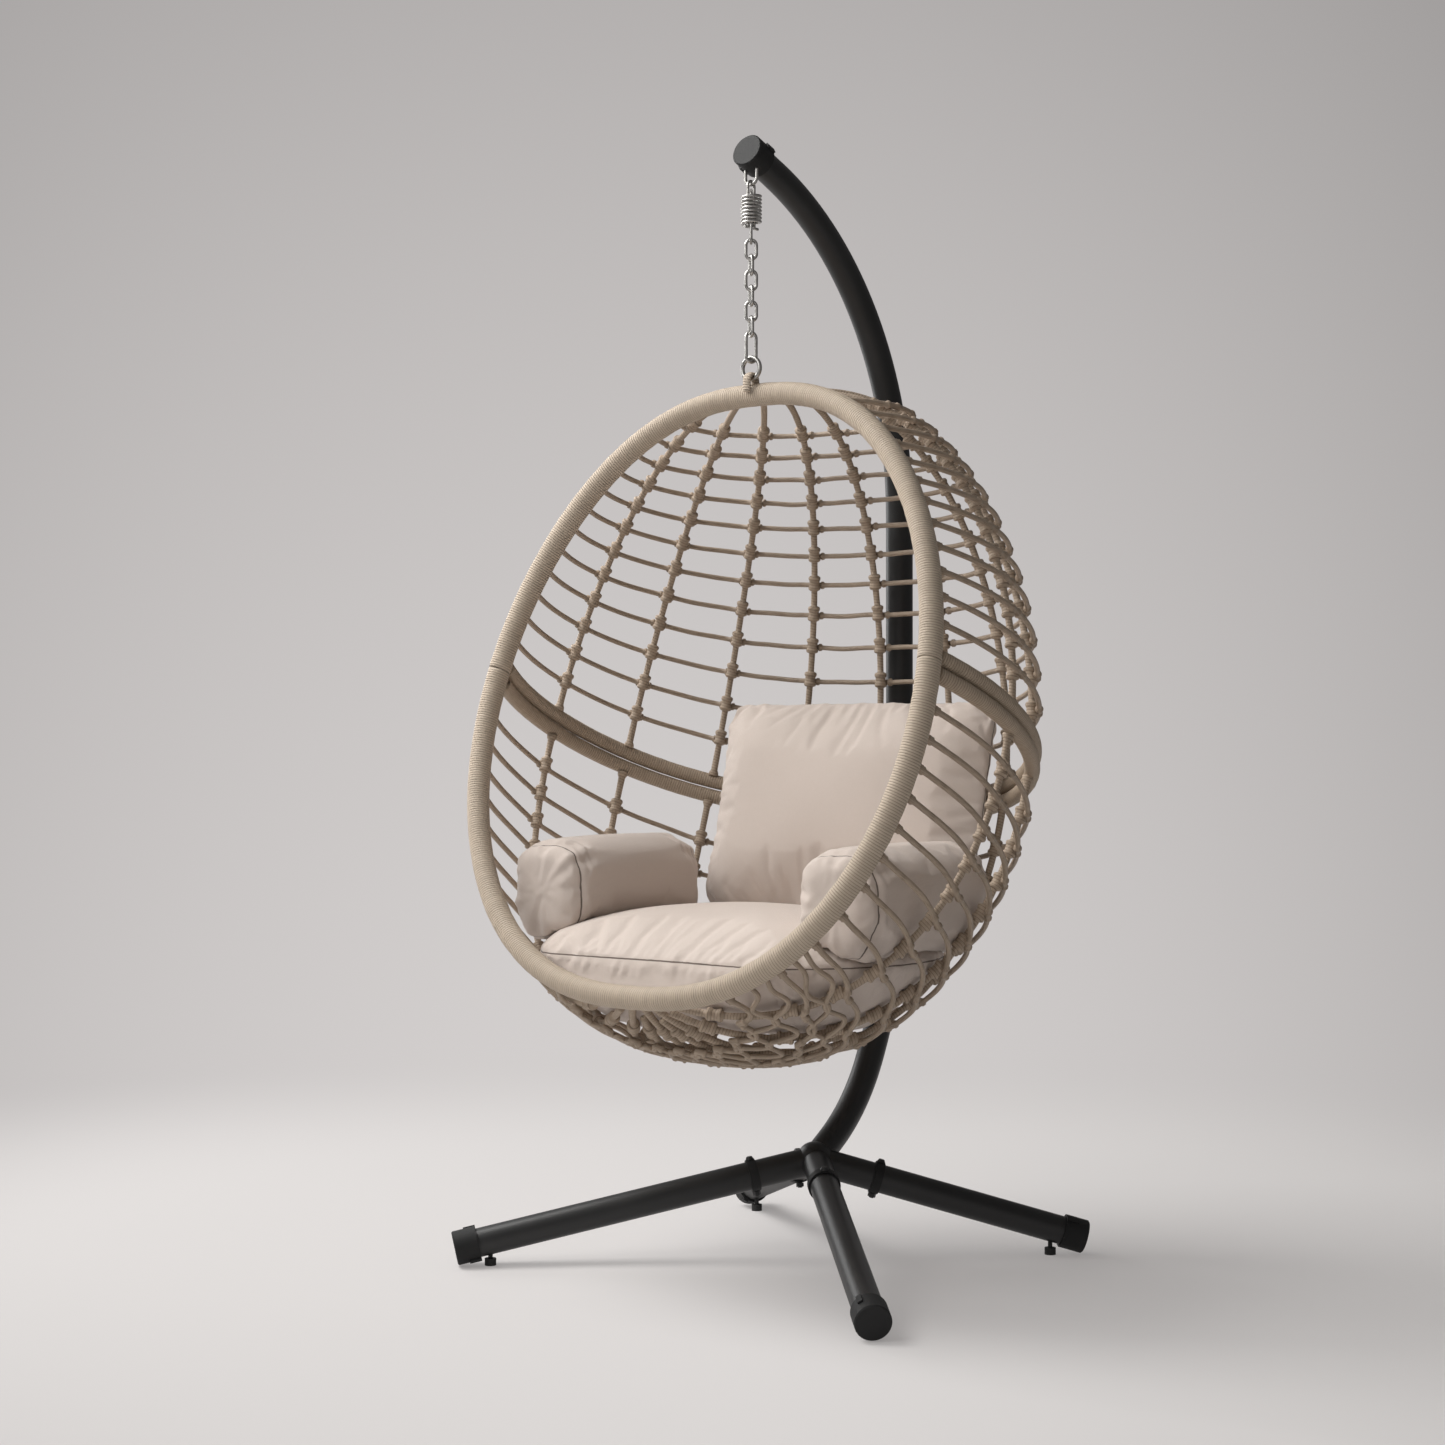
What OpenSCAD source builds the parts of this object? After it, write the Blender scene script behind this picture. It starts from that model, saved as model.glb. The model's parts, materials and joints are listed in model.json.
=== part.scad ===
// Hanging egg chair on a cross-legged steel stand.
// Origin: on the floor, under the middle of the whole chair. Z is up, the sitter faces -Y.

/* [Stand tube] */
// Outside diameter of the stand's round tube
tube_d = 50; // [44:1:56]
// Wall of the stand's round tube
tube_wall = 2; // [1.5:0.5:3]
// Clearance between a tube and the spigot or cap that fits it
tube_fit = 0.3; // [0.2:0.1:0.6]

/* [Base] */
// Height of the hub's centre, where the legs and the post meet
hub_z = 168; // [150:1:200]
// Diameter of the hub's ball
hub_d = 66; // [60:1:76]
// Distance along the floor from the hub to the end of a front foot
front_reach = 636; // [560:1:700]
// Distance along the floor from the hub to the end of a rear foot
rear_reach = 480; // [430:1:560]
// Angle of a front leg from straight ahead
front_leg_turn = 43.7; // [36:0.1:50]
// Angle of a rear leg from straight back
rear_leg_turn = 51.4; // [45:0.1:56]
// Distance along a leg from the hub's centre to the leg's upper end
leg_start = 106; // [96:1:130]
// Length of the spigot inside a leg
leg_spigot_len = 60; // [40:1:80]
// Width of the collar round a leg's upper end
collar_w = 16; // [14:1:24]
// Thickness of the collar round a leg's upper end
collar_wall = 3; // [2:0.5:4]

/* [Caps and feet] */
// Outside diameter of the plastic end caps
cap_d = 59; // [56:1:64]
// Length of an end cap along its tube
cap_len = 42; // [30:1:50]
// Thickness of an end cap's face
cap_face = 5; // [3:0.5:8]
// Height of a foot cap's lowest edge over the floor, about
foot_lift = 1; // [0.5:0.5:3]
// Distance from a leg's outer end back to its levelling foot
foot_inset = 62; // [58:1:90]
// Diameter of a levelling foot
foot_d = 20; // [14:1:26]
// Height of a levelling foot's rubber
foot_h = 12; // [8:1:13]
// Diameter of a levelling foot's stud
foot_stud_d = 8; // [6:1:10]

/* [Post and arm] */
// Distance from the hub back to the post's upright part
post_back = 270; // [240:1:300]
// Length of the hub's stub that carries the post
post_stub_len = 54; // [50:1:70]
// Steepness of the post where it leaves the hub
post_leave = 31.6; // [28:0.1:35]
// Radius of the post's bend above the hub
post_bend_r = 340; // [320:1:360]
// Steepness of the post at the end of that bend
post_bend_end = 62; // [55:1:68]
// Height of the joint between the post and the arm
joint_z = 800; // [770:1:900]
// Length of the spigot inside the arm
joint_spigot_len = 100; // [80:1:140]
// Radius of the arm's overhead bend
arm_bend_r = 600; // [570:1:630]
// Angle of the arm's overhead bend
arm_bend_turn = 70; // [67:1:74]
// Distance from the hanging line back to the post
arm_reach = 457.3; // [452:0.1:466]
// Height of the centre of the arm's end
arm_end_z = 1924; // [1880:1:1960]

/* [Fasteners] */
// Diameter of the stand's bolts
bolt_d = 8; // [6:1:10]
// Clearance hole over a bolt's diameter
bolt_play = 0.5; // [0.3:0.1:1]
// Height of a bolt's domed head
bolt_head_h = 5; // [4:0.5:7]

/* [Hanger] */
// Distance from the arm's end back to the hanging line
hang_inset = 8; // [8:0.5:12]
// Wire diameter of the U-bolt
u_bolt_d = 6; // [5:0.5:8]
// Distance between the U-bolt's legs, centre to centre
u_bolt_w = 24; // [20:1:28]
// Drop of the U-bolt's bow below the arm's centre line
u_bolt_drop = 53.5; // [48:0.5:60]
// Wire diameter of the spring's two draw bars
draw_d = 5; // [4:0.5:5]
// Distance between a draw bar's legs, centre to centre
draw_w = 18; // [17:0.5:19]
// Distance from the U-bolt's bow down to the spring's top
spring_drop = 16; // [14:1:24]
// Length of the spring
spring_len = 55; // [52:1:70]
// Mean diameter of the spring's curls
spring_d = 33; // [31:1:40]
// Wire diameter of the spring
spring_wire = 5; // [4:0.5:5]
// Number of curls in the spring
spring_turns = 8; // [6:1:8]
// Drop of the lower draw bar's loop below the spring
loop_drop = 30; // [25:1:34]

/* [Chain] */
// Wire diameter of the chain links
link_wire = 6; // [5:0.5:7]
// Outside width of a short link
link_w = 24; // [22:0.5:24.5]
// Length of a short link between the centres of its two end bars
link_len = 33; // [30:0.5:40]
// Number of short links
link_count = 6; // [4:1:6]
// Length of the long link between the centres of its two end bars
long_link_len = 51; // [42:1:60]
// Outside width of the long link
long_link_w = 26; // [24:0.5:27]
// Wire diameter of the ring
ring_wire = 8; // [7:0.5:8.5]
// Mean diameter of the ring
ring_d = 37; // [36:1:44]
// Turn of the odd links about the hanging line
chain_turn = 38; // [36:1:42]
// Turn of the even links past square to the odd ones
even_turn = 14; // [10:1:15]
// Turn of the long link about the hanging line
long_link_turn = 69.5; // [68:0.5:72]
// Gap left between links that hang in each other
hang_gap = 0.5; // [0.4:0.1:0.8]

/* [Basket] */
// Width of the basket's mouth between the rim's centre lines
mouth_w = 917; // [860:1:960]
// Length of the rim from its top to its bottom, between centre lines
mouth_len = 1062; // [1000:1:1100]
// Depth of the basket behind the rim's plane
basket_depth = 571; // [520:1:585]
// Distance behind the rim's plane at which the basket is widest
widest_back = 176; // [150:1:200]
// Lean of the rim's plane back from upright
rim_lean = 18.2; // [15:0.1:21]
// Diameter of the wrapped rim
rim_d = 40; // [34:1:44]
// Distance below the rim's top at which the basket comes apart
split_v = 494; // [470:1:520]
// Diameter of the two wrapped hoops along the split
hoop_d = 27; // [24:1:30]
// Gap between the two hoops and between the two halves of the rim
split_gap = 1; // [0.6:0.1:2]
// Diameter of the wrapped ribs
rib_d = 14; // [12:1:16]
// Ribs on each side of the middle one
ribs_per_side = 4; // [3:1:4]
// Angle between neighbouring ribs
rib_step = 16.8; // [15:0.1:17.5]
// Diameter of the cane rungs
rung_d = 9; // [7:0.5:10]
// Rungs in the upper half
upper_rungs = 12; // [8:1:12]
// Rungs in the lower half
lower_rungs = 11; // [7:1:11]
// Gap between a cane and the rib or rim that it is bound to
cane_gap = 0.3; // [0.2:0.1:0.5]
// Wire diameter of the eye on top of the rim
eye_wire = 8; // [7:0.5:9]
// Mean radius of the eye on top of the rim
eye_r = 12; // [12:0.5:15]
// Height of the eye's centre over the rim's centre line
eye_rise = 22.5; // [21:0.5:24]
// Distance of the rim's centre line behind the hanging line
rim_back = 12; // [8:1:14]

/* [Cushions] */
// Clearance between a cushion and the canes round it
cushion_gap = 0.7; // [0.5:0.1:4]
// Height of the seat cushion's seam above the bottom of the rim
seat_rise = 54; // [46:1:70]
// Rise of the seat cushion's crown over its seam
seat_crown = 80; // [50:1:90]
// Depth of the seat cushion below its seam
seat_belly = 118; // [60:1:120]
// Width of the back cushion
back_w = 610; // [540:1:620]
// Height of the back cushion
back_h = 416; // [360:1:420]
// Thickness of the back cushion
back_t = 150; // [110:1:150]
// Lean of the back cushion
back_lean = 14; // [8:1:18]
// Width of an arm bolster
bolster_w = 168; // [130:1:172]
// Height of an arm bolster
bolster_h = 188; // [160:1:192]
// Length of an arm bolster
bolster_len = 356; // [330:1:360]

/* [Hidden] */

steel = "#2b2d2f";
plastic = "#3a3c3e";
zinc = "#b9bbbd";
cane = "#b29d86";
fabric = "#c9b8ab";
round_fn = 48;

tube_r = tube_d / 2;
rim_r = rim_d / 2;

// ---- Base: every leg is [turn about Z, reach along the floor] ----
FRONT_LEFT = 0;
FRONT_RIGHT = 1;
REAR_LEFT = 2;
REAR_RIGHT = 3;
LEGS = [
    [-90 - front_leg_turn, front_reach],
    [-90 + front_leg_turn, front_reach],
    [90 + rear_leg_turn, rear_reach],
    [90 - rear_leg_turn, rear_reach]
];
foot_axis_z = cap_d / 2 + foot_lift;
function leg_slope(i) = atan((hub_z - foot_axis_z) / LEGS[i][1]);
function leg_end(i) = LEGS[i][1] / cos(leg_slope(i));
spigot_d = tube_d - 2 * tube_wall - 2 * tube_fit;
leg_bolt_at = leg_start + collar_w / 2;

// ---- Post and arm, in the plane X = 0 as [y, z] from the hub ----
post_start = [0, hub_z] + post_stub_len * [cos(post_leave), sin(post_leave)];
bend_1_centre = post_start + post_bend_r * [-sin(post_leave), cos(post_leave)];
bend_1_end = bend_1_centre + post_bend_r * [sin(post_bend_end), -cos(post_bend_end)];
post_bend_2_r = (post_back - bend_1_end[0]) / (1 - sin(post_bend_end));
bend_2_centre = bend_1_end - post_bend_2_r * [sin(post_bend_end), -cos(post_bend_end)];
arm_way = [-sin(arm_bend_turn), cos(arm_bend_turn)];
arm_tail = (arm_reach + hang_inset - arm_bend_r * (1 - cos(arm_bend_turn))) / sin(arm_bend_turn);
arm_bend_z = arm_end_z - arm_bend_r * sin(arm_bend_turn) - arm_tail * arm_way[1];
arm_centre_y = post_back - arm_bend_r;
arm_end_y = arm_centre_y + arm_bend_r * cos(arm_bend_turn) + arm_tail * arm_way[0];
hang_y = arm_end_y + hang_inset;
arm_hang_z = arm_end_z + hang_inset * arm_way[1] / arm_way[0];

// ---- Hanger and chain: heights of the wires' centre lines, from the arm down ----
bow_z = arm_hang_z - u_bolt_drop;
upper_loop_z = bow_z + u_bolt_d / 2 + hang_gap + draw_d / 2;
spring_top = bow_z - spring_drop;
spring_bottom = spring_top - spring_len;
lower_loop_z = spring_bottom - loop_drop;
link_top_z = lower_loop_z + draw_d / 2 + hang_gap + link_wire / 2;
link_pitch = link_len - link_wire - hang_gap;
long_link_top = link_top_z - link_count * link_pitch;
ring_top_z = long_link_top - long_link_len + link_wire / 2 + hang_gap + ring_wire / 2;
ring_bottom_z = ring_top_z - ring_d;
eye_centre_z = ring_bottom_z + ring_wire / 2 + hang_gap - (eye_r - eye_wire / 2);
rim_top_z = eye_centre_z - eye_rise;
rim_top_y = hang_y + rim_back;

// ---- Basket skin: v runs down the rim's plane from its top, y runs back from that plane ----
skin_squareness = 2.45;
skin_taper = 0.059;
skin_swell = -0.046;
depth_taper = 0.152;
centre_taper = 19;
find_steps = 24;
skin_depth_r = basket_depth - widest_back;
function skin_depth(u) = skin_depth_r * (1 + depth_taper * u);
function skin_centre(u) = widest_back + centre_taper * u;
function room_at(u, y) = 1 - u * u - pow((y - skin_centre(u)) / skin_depth(u), 2);
function rim_root(inner, outer, n) = n == 0 ? inner :
    let (m = (inner + outer) / 2)
    room_at(m, 0) > 0 ? rim_root(m, outer, n - 1) : rim_root(inner, m, n - 1);
u_top = rim_root(0, -1, find_steps);
u_bottom = rim_root(0, 1, find_steps);
skin_half_len = mouth_len / (u_bottom - u_top);
skin_mid = -u_top * skin_half_len;
skin_w = mouth_w / 2 / pow(room_at(0, 0), 1 / skin_squareness);
function skin_u(v) = (v - skin_mid) / skin_half_len;
function skin_room(v, y) = room_at(skin_u(v), y);
function skin_x(v, y) =
    let (u = skin_u(v), room = room_at(u, y))
    room <= 0 ? 0 : skin_w * (1 + skin_taper * u + skin_swell * u * u) * pow(room, 1 / skin_squareness);

// Points on the basket are [x, y, -v]
function unit(p) = p / norm(p);
function rim_point(a) =
    let (v = mouth_len * (1 - cos(a)) / 2)
    [(a > 180 ? -1 : 1) * skin_x(v, 0), 0, -v];
function angle_of_v(v) = acos(1 - 2 * v / mouth_len);

// Rungs and hoops lie in planes that fan out from the rim, v = v0 + fan(v0) * y, the two hoops side by side
fan_level = 328;
fan_rate = 0.00081;
function fan(v0) = fan_rate * ((abs(v0 - split_v) < hoop_d ? split_v : v0) - fan_level);
function fan_normal(v0) = unit([0, fan(v0), 1]);
function back_of(v0, near, far, n) = n == 0 ? near :
    let (m = (near + far) / 2)
    skin_room(v0 + fan(v0) * m, m) > 0 ? back_of(v0, m, far, n - 1) : back_of(v0, near, m, n - 1);
function fan_back(v0) = back_of(v0, widest_back / 3, 2 * basket_depth, find_steps);
function fan_point(v0, back, s, w0 = 0) =
    let (y = back * sin(s), v = v0 + fan(v0) * y)
    [(s > 90 ? -1 : 1) * skin_x(v, y), y, -v];
function fan_start(v0, back, reach, low, high, n) = n == 0 ? high :
    let (m = (low + high) / 2)
    norm(fan_point(v0, back, m) - fan_point(v0, back, 0)) > reach
        ? fan_start(v0, back, reach, low, m, n - 1) : fan_start(v0, back, reach, m, high, n - 1);
function fan_path(v0, end_gap, steps) =
    let (back = fan_back(v0), s0 = fan_start(v0, back, rim_r + end_gap, 0, 80, find_steps))
    [for (i = [0 : steps]) fan_point(v0, back, s0 + (180 - 2 * s0) * i / steps)];

// Ribs lie in half planes that turn about the line from the rim's top to its bottom
function rib_point(turn, a, near, far, n) =
    let (m = (near + far) / 2, v = split_v - m * cos(a))
    let (r = m * sin(a), y = r * cos(turn), x = abs(r * sin(turn)))
    n == 0 ? [r * sin(turn), y, -v] :
    (skin_room(v, y) > 0 && skin_x(v, y) > x)
        ? rib_point(turn, a, m, far, n - 1) : rib_point(turn, a, near, m, n - 1);
function rib_at(turn, a) = rib_point(turn, a, 0, 2 * mouth_len, find_steps);
function off_plane(p, v0) = -p[2] - (v0 + fan(v0) * p[1]);
function rib_starts(turn, p) = p[1] > rib_clear_y && norm([p[0], p[1]]) > rib_room(turn);
function rib_room(turn) = turn == 0 ? 0 : rib_inset
    + (rib_d + 2) / sin(rib_step * (round(turn / rib_step) % 2 == 0 ? 2 : 1));
function rib_first(turn, low, high, n) = n == 0 ? high :
    let (m = (low + high) / 2)
    rib_starts(turn, rib_at(turn, m)) ? rib_first(turn, low, m, n - 1) : rib_first(turn, m, high, n - 1);
function rib_last(turn, v0, keep, low, high, n) = n == 0 ? low :
    let (m = (low + high) / 2)
    keep * off_plane(rib_at(turn, m), v0) > 0
        ? rib_last(turn, v0, keep, m, high, n - 1) : rib_last(turn, v0, keep, low, m, n - 1);
rib_inset = rung_d / 2 + rib_d / 2 + cane_gap;
rib_clear_y = rim_r + rib_d / 2 + cane_gap;
hoop_inset = rib_inset / 2;
hoop_upper_v = split_v - hoop_d / 2 - split_gap / 2;
hoop_lower_v = split_v + hoop_d / 2 + split_gap / 2;
hoop_clear = hoop_d / 2 + cane_gap;
rib_steps = 14;
// A path moved sideways in its own plane, towards the left of its direction seen along the normal
function direction(path, i) =
    unit(path[min(i + 1, len(path) - 1)] - path[max(i - 1, 0)]);
function moved(path, normal, by) =
    [for (i = [0 : len(path) - 1]) path[i] + by * unit(cross(normal, direction(path, i)))];
function rib_normal(turn) = [cos(turn), -sin(turn), 0];
function rib_path(turn, first, last) =
    moved([for (i = [0 : rib_steps]) rib_at(turn, first + (last - first) * i / rib_steps)],
        rib_normal(turn), (last > first ? -1 : 1) * rib_inset);
function upper_rib(turn) =
    rib_path(turn, rib_first(turn, 0, 60, find_steps),
        rib_last(turn, hoop_upper_v - hoop_clear, -1, 20, 120, find_steps));
function lower_rib(turn) =
    rib_path(turn, 180 - lower_first(turn, 0, 70, find_steps),
        180 - lower_last(turn, hoop_lower_v + hoop_clear, 20, 120, find_steps));
function lower_first(turn, low, high, n) = n == 0 ? high :
    let (m = (low + high) / 2)
    rib_starts(turn, rib_at(turn, 180 - m))
        ? lower_first(turn, low, m, n - 1) : lower_first(turn, m, high, n - 1);
function lower_last(turn, v0, low, high, n) = n == 0 ? low :
    let (m = (low + high) / 2)
    off_plane(rib_at(turn, 180 - m), v0) > 0
        ? lower_last(turn, v0, m, high, n - 1) : lower_last(turn, v0, low, m, n - 1);

// Rungs crowd together towards the rim's top and keep an even step below the split
upper_rung_v0 = 21;
upper_rung_growth = 0.91;
split_to_upper_rung = 68;
split_to_lower_rung = 72;
last_rung_to_rim = 26;
upper_rung_step = (split_v - split_to_upper_rung - upper_rung_v0) / (upper_rungs - 1)
    - upper_rung_growth * (upper_rungs - 1);
lower_rung_v0 = split_v + split_to_lower_rung;
lower_rung_step = (mouth_len - last_rung_to_rim - lower_rung_v0) / (lower_rungs - 1);
function upper_rung_v(i) = upper_rung_v0 + upper_rung_step * i + upper_rung_growth * i * i;
function lower_rung_v(i) = lower_rung_v0 + lower_rung_step * i;

// ---- Shared shapes ----
// A tube or rod along a path that lies in one plane
module sweep(path, d, sides, normal) {
    n = len(path);
    points = [for (i = [0 : n - 1])
        let (side = unit(cross(normal, direction(path, i))))
        for (k = [0 : sides - 1])
            path[i] + d / 2 * (cos(360 * k / sides) * side + sin(360 * k / sides) * normal)];
    walls = [for (i = [0 : n - 2], k = [0 : sides - 1])
        let (a = i * sides + k, b = i * sides + (k + 1) % sides, c = a + sides, e = b + sides)
        each [[a, c, b], [b, c, e]]];
    ends = [for (k = [1 : sides - 2]) each [[0, k, k + 1],
        [(n - 1) * sides, (n - 1) * sides + k + 1, (n - 1) * sides + k]]];
    polyhedron(points, concat(walls, ends));
}

// Rings of points closed by a pole at each end
module skin_rings(rings, first_pole, last_pole) {
    n = len(rings);
    m = len(rings[0]);
    points = concat([for (ring = rings) each ring], [first_pole, last_pole]);
    walls = [for (i = [0 : n - 2], k = [0 : m - 1])
        let (a = i * m + k, b = i * m + (k + 1) % m, c = a + m, e = b + m)
        each [[a, b, c], [b, e, c]]];
    ends = [for (k = [0 : m - 1]) each [[n * m, (k + 1) % m, k],
        [n * m + 1, (n - 1) * m + k, (n - 1) * m + (k + 1) % m]]];
    polyhedron(points, concat(walls, ends));
}

// Tubes that meet in a bend lap a little, and the bend is a hair thicker, as a formed tube is
seam_lap = 3;
seam_proud = 0.15;
module tube_section(proud = 0) {
    difference() {
        circle(d = tube_d + 2 * proud, $fn = round_fn);
        circle(d = tube_d - 2 * tube_wall - 2 * proud, $fn = round_fn);
    }
}
module upright() rotate([90, 0, 90]) children();

module along_leg(i) {
    translate([0, 0, hub_z]) rotate([0, 0, LEGS[i][0]]) rotate([0, 90 + leg_slope(i), 0]) children();
}

// The whole chair is drawn from the hub and then moved so that the origin is under its middle
front_edge = rim_top_y - mouth_len * sin(rim_lean) - rim_r;
rear_edge = (leg_end(REAR_LEFT) * cos(leg_slope(REAR_LEFT)) * cos(rear_leg_turn))
    + cap_d / 2 * sin(leg_slope(REAR_LEFT)) * cos(rear_leg_turn) + cap_d / 2 * sin(rear_leg_turn);
centre_y = -(front_edge + rear_edge) / 2;
module placed() translate([0, centre_y, 0]) children();
module on_hanging_line(z) translate([0, hang_y, z]) children();
module on_basket() translate([0, rim_top_y, rim_top_z]) rotate([-rim_lean, 0, 0]) children();

// ---- Stand ----
module hub() color(steel) placed() difference() {
    union() {
        translate([0, 0, hub_z]) sphere(d = hub_d, $fn = round_fn);
        translate([0, 0, hub_z]) rotate([post_leave - 90, 0, 0])
            cylinder(d = tube_d, h = post_stub_len - tube_fit, $fn = round_fn);
        for (i = [0 : 3]) along_leg(i) cylinder(d = tube_d, h = leg_start - tube_fit, $fn = round_fn);
        for (i = [0 : 3]) along_leg(i) cylinder(d = spigot_d, h = leg_start + leg_spigot_len, $fn = round_fn);
    }
    for (i = [0 : 3]) along_leg(i) {
        translate([0, 0, hub_d / 2]) cylinder(d = spigot_d - 2 * tube_wall, h = leg_end(i), $fn = round_fn);
        translate([-tube_d, 0, leg_bolt_at]) upright()
            cylinder(d = bolt_d + bolt_play, h = 2 * tube_d, $fn = round_fn);
    }
}

// The post's end is drawn in to a spigot: [radius, height] over the joint
spigot_r = spigot_d / 2;
spigot_profile = [[spigot_r, joint_spigot_len], [spigot_r, 0], [tube_r - tube_wall / 2, 0],
    [tube_r - tube_wall / 2, -tube_r], [spigot_r - tube_wall, -tube_r],
    [spigot_r - tube_wall, joint_spigot_len]];
seam_turn = seam_lap / post_bend_r * 180 / PI;
module lower_post() color(steel) placed() difference() {
    union() {
        translate([0, bend_1_centre[0], bend_1_centre[1]]) upright() rotate([0, 0, post_leave - 90])
            rotate_extrude(angle = post_bend_end - post_leave + seam_turn, $fn = 2 * round_fn)
                translate([post_bend_r, 0]) tube_section();
        translate([0, bend_2_centre[0], bend_2_centre[1]]) upright() rotate([0, 0, post_bend_end - 90])
            rotate_extrude(angle = 90 - post_bend_end, $fn = 2 * round_fn)
                translate([post_bend_2_r, 0]) tube_section(seam_proud);
        translate([0, post_back, bend_2_centre[1] - seam_lap])
            linear_extrude(joint_z - tube_fit - bend_2_centre[1] + seam_lap) tube_section();
        translate([0, post_back, joint_z - tube_fit]) rotate_extrude($fn = round_fn) polygon(spigot_profile);
    }
    post_bolt_holes();
}

post_bolt_z = [joint_z + joint_spigot_len * 0.3, joint_z + joint_spigot_len * 0.7];
module post_bolt_holes() {
    for (z = post_bolt_z) translate([-tube_d, post_back, z]) rotate([0, 90, 0])
        cylinder(d = bolt_d + bolt_play, h = 2 * tube_d, $fn = round_fn);
}

module upper_arm() color(steel) placed() difference() {
    union() {
        translate([0, post_back, joint_z]) linear_extrude(arm_bend_z - joint_z + seam_lap) tube_section();
        translate([0, arm_centre_y, arm_bend_z]) upright()
            rotate_extrude(angle = arm_bend_turn, $fn = 4 * round_fn)
                translate([arm_bend_r, 0]) tube_section(seam_proud);
        at_arm_end() translate([0, 0, -arm_tail - seam_lap])
            linear_extrude(arm_tail + seam_lap) tube_section();
    }
    post_bolt_holes();
    u_bolt_holes();
}
module at_arm_end() translate([0, arm_end_y, arm_end_z]) rotate([arm_bend_turn, 0, 0]) children();
module u_bolt_holes() on_hanging_line(arm_hang_z - tube_d) for (side = [-1, 1])
    translate([side * u_bolt_w / 2, 0, 0]) cylinder(d = u_bolt_d + bolt_play, h = tube_d, $fn = round_fn);

// A cap from its open end at z = 0 to its face at z = length, with a grip on each side
cap_chamfer = 2;
grip_w = 9;
grip_out = 3;
grip_turn = 35;
module end_cap(length) difference() {
    union() {
        rotate_extrude($fn = round_fn) polygon([[0, 0], [cap_d / 2, 0], [cap_d / 2, length - cap_chamfer],
            [cap_d / 2 - cap_chamfer, length], [0, length]]);
        for (side = [0, 180]) rotate([0, 0, grip_turn + side])
            translate([0, -grip_w / 2, 0]) cube([cap_d / 2 + grip_out, grip_w, length / 2]);
    }
    translate([0, 0, -1]) cylinder(d = tube_d + 2 * tube_fit, h = length - cap_face + 1, $fn = round_fn);
}

module arm_cap() color(plastic) placed() difference() {
    at_arm_end() translate([0, 0, cap_face + tube_fit - cap_len]) end_cap(cap_len);
    u_bolt_holes();
}

module leg(i) color(steel) placed() difference() {
    along_leg(i) translate([0, 0, leg_start])
        linear_extrude(leg_end(i) - cap_face - tube_fit - leg_start) tube_section();
    along_leg(i) translate([-tube_d, 0, leg_bolt_at]) upright()
        cylinder(d = bolt_d + bolt_play, h = 2 * tube_d, $fn = round_fn);
    at_levelling_foot(i) cylinder(d = foot_stud_d + bolt_play, h = foot_axis_z + tube_r, $fn = round_fn);
}

module foot_cap(i) color(plastic) placed() along_leg(i)
    translate([0, 0, leg_end(i) - cap_len]) end_cap(cap_len);

module leg_collars() color(steel) placed() for (i = [0 : 3]) along_leg(i) difference() {
    translate([0, 0, leg_start])
        cylinder(d = tube_d + 2 * tube_fit + 2 * collar_wall, h = collar_w, $fn = round_fn);
    translate([0, 0, leg_start - 1]) cylinder(d = tube_d + 2 * tube_fit, h = collar_w + 2, $fn = round_fn);
    translate([-tube_d, 0, leg_bolt_at]) upright()
        cylinder(d = bolt_d + bolt_play, h = 2 * tube_d, $fn = round_fn);
}

// A bolt along +Z whose head's underside is at z = 0, and the nut that goes on it
module bolt(grip) {
    translate([0, 0, -bolt_head_h])
        cylinder(d1 = 1.2 * bolt_d, d2 = 1.9 * bolt_d, h = bolt_head_h, $fn = round_fn);
    translate([0, 0, -hang_gap]) cylinder(d = bolt_d, h = grip + bolt_d + hang_gap, $fn = round_fn);
}
module nut(grip) translate([0, 0, grip]) difference() {
    cylinder(d = 1.8 * bolt_d, h = 0.8 * bolt_d, $fn = 6);
    translate([0, 0, -1]) cylinder(d = bolt_d + 2 * hang_gap / 3, h = bolt_d + 2, $fn = round_fn);
}

collar_r = tube_r + tube_fit + collar_wall;
module at_leg_bolt(i) along_leg(i)
    translate([-collar_r - hang_gap, 0, leg_bolt_at]) rotate([0, 90, 0]) children();
module leg_bolts() color(zinc) placed() for (i = [0 : 3]) at_leg_bolt(i) bolt(2 * collar_r + 2 * hang_gap);
module leg_nuts() color(zinc) placed() for (i = [0 : 3]) at_leg_bolt(i) nut(2 * collar_r + 2 * hang_gap);

module at_post_bolt(z) translate([-tube_r - hang_gap, post_back, z]) rotate([0, 90, 0]) children();
module post_bolts() color(zinc) placed() for (z = post_bolt_z) at_post_bolt(z) bolt(tube_d + 2 * hang_gap);
module post_nuts() color(zinc) placed() for (z = post_bolt_z) at_post_bolt(z) nut(tube_d + 2 * hang_gap);

module at_levelling_foot(i) rotate([0, 0, LEGS[i][0]]) translate([LEGS[i][1] - foot_inset, 0, 0]) children();
module levelling_feet() color(plastic) placed() for (i = [0 : 3]) at_levelling_foot(i) {
    cylinder(d = foot_d, h = foot_h, $fn = round_fn);
    cylinder(d = foot_stud_d, h = foot_axis_z, $fn = round_fn);
}

// ---- Hanger: the U-bolt, the spring and its two draw bars ----
module half_turn(r, wire) rotate_extrude(angle = 180, $fn = round_fn)
    translate([r, 0]) circle(d = wire, $fn = wire_fn);
wire_fn = 24;

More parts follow.
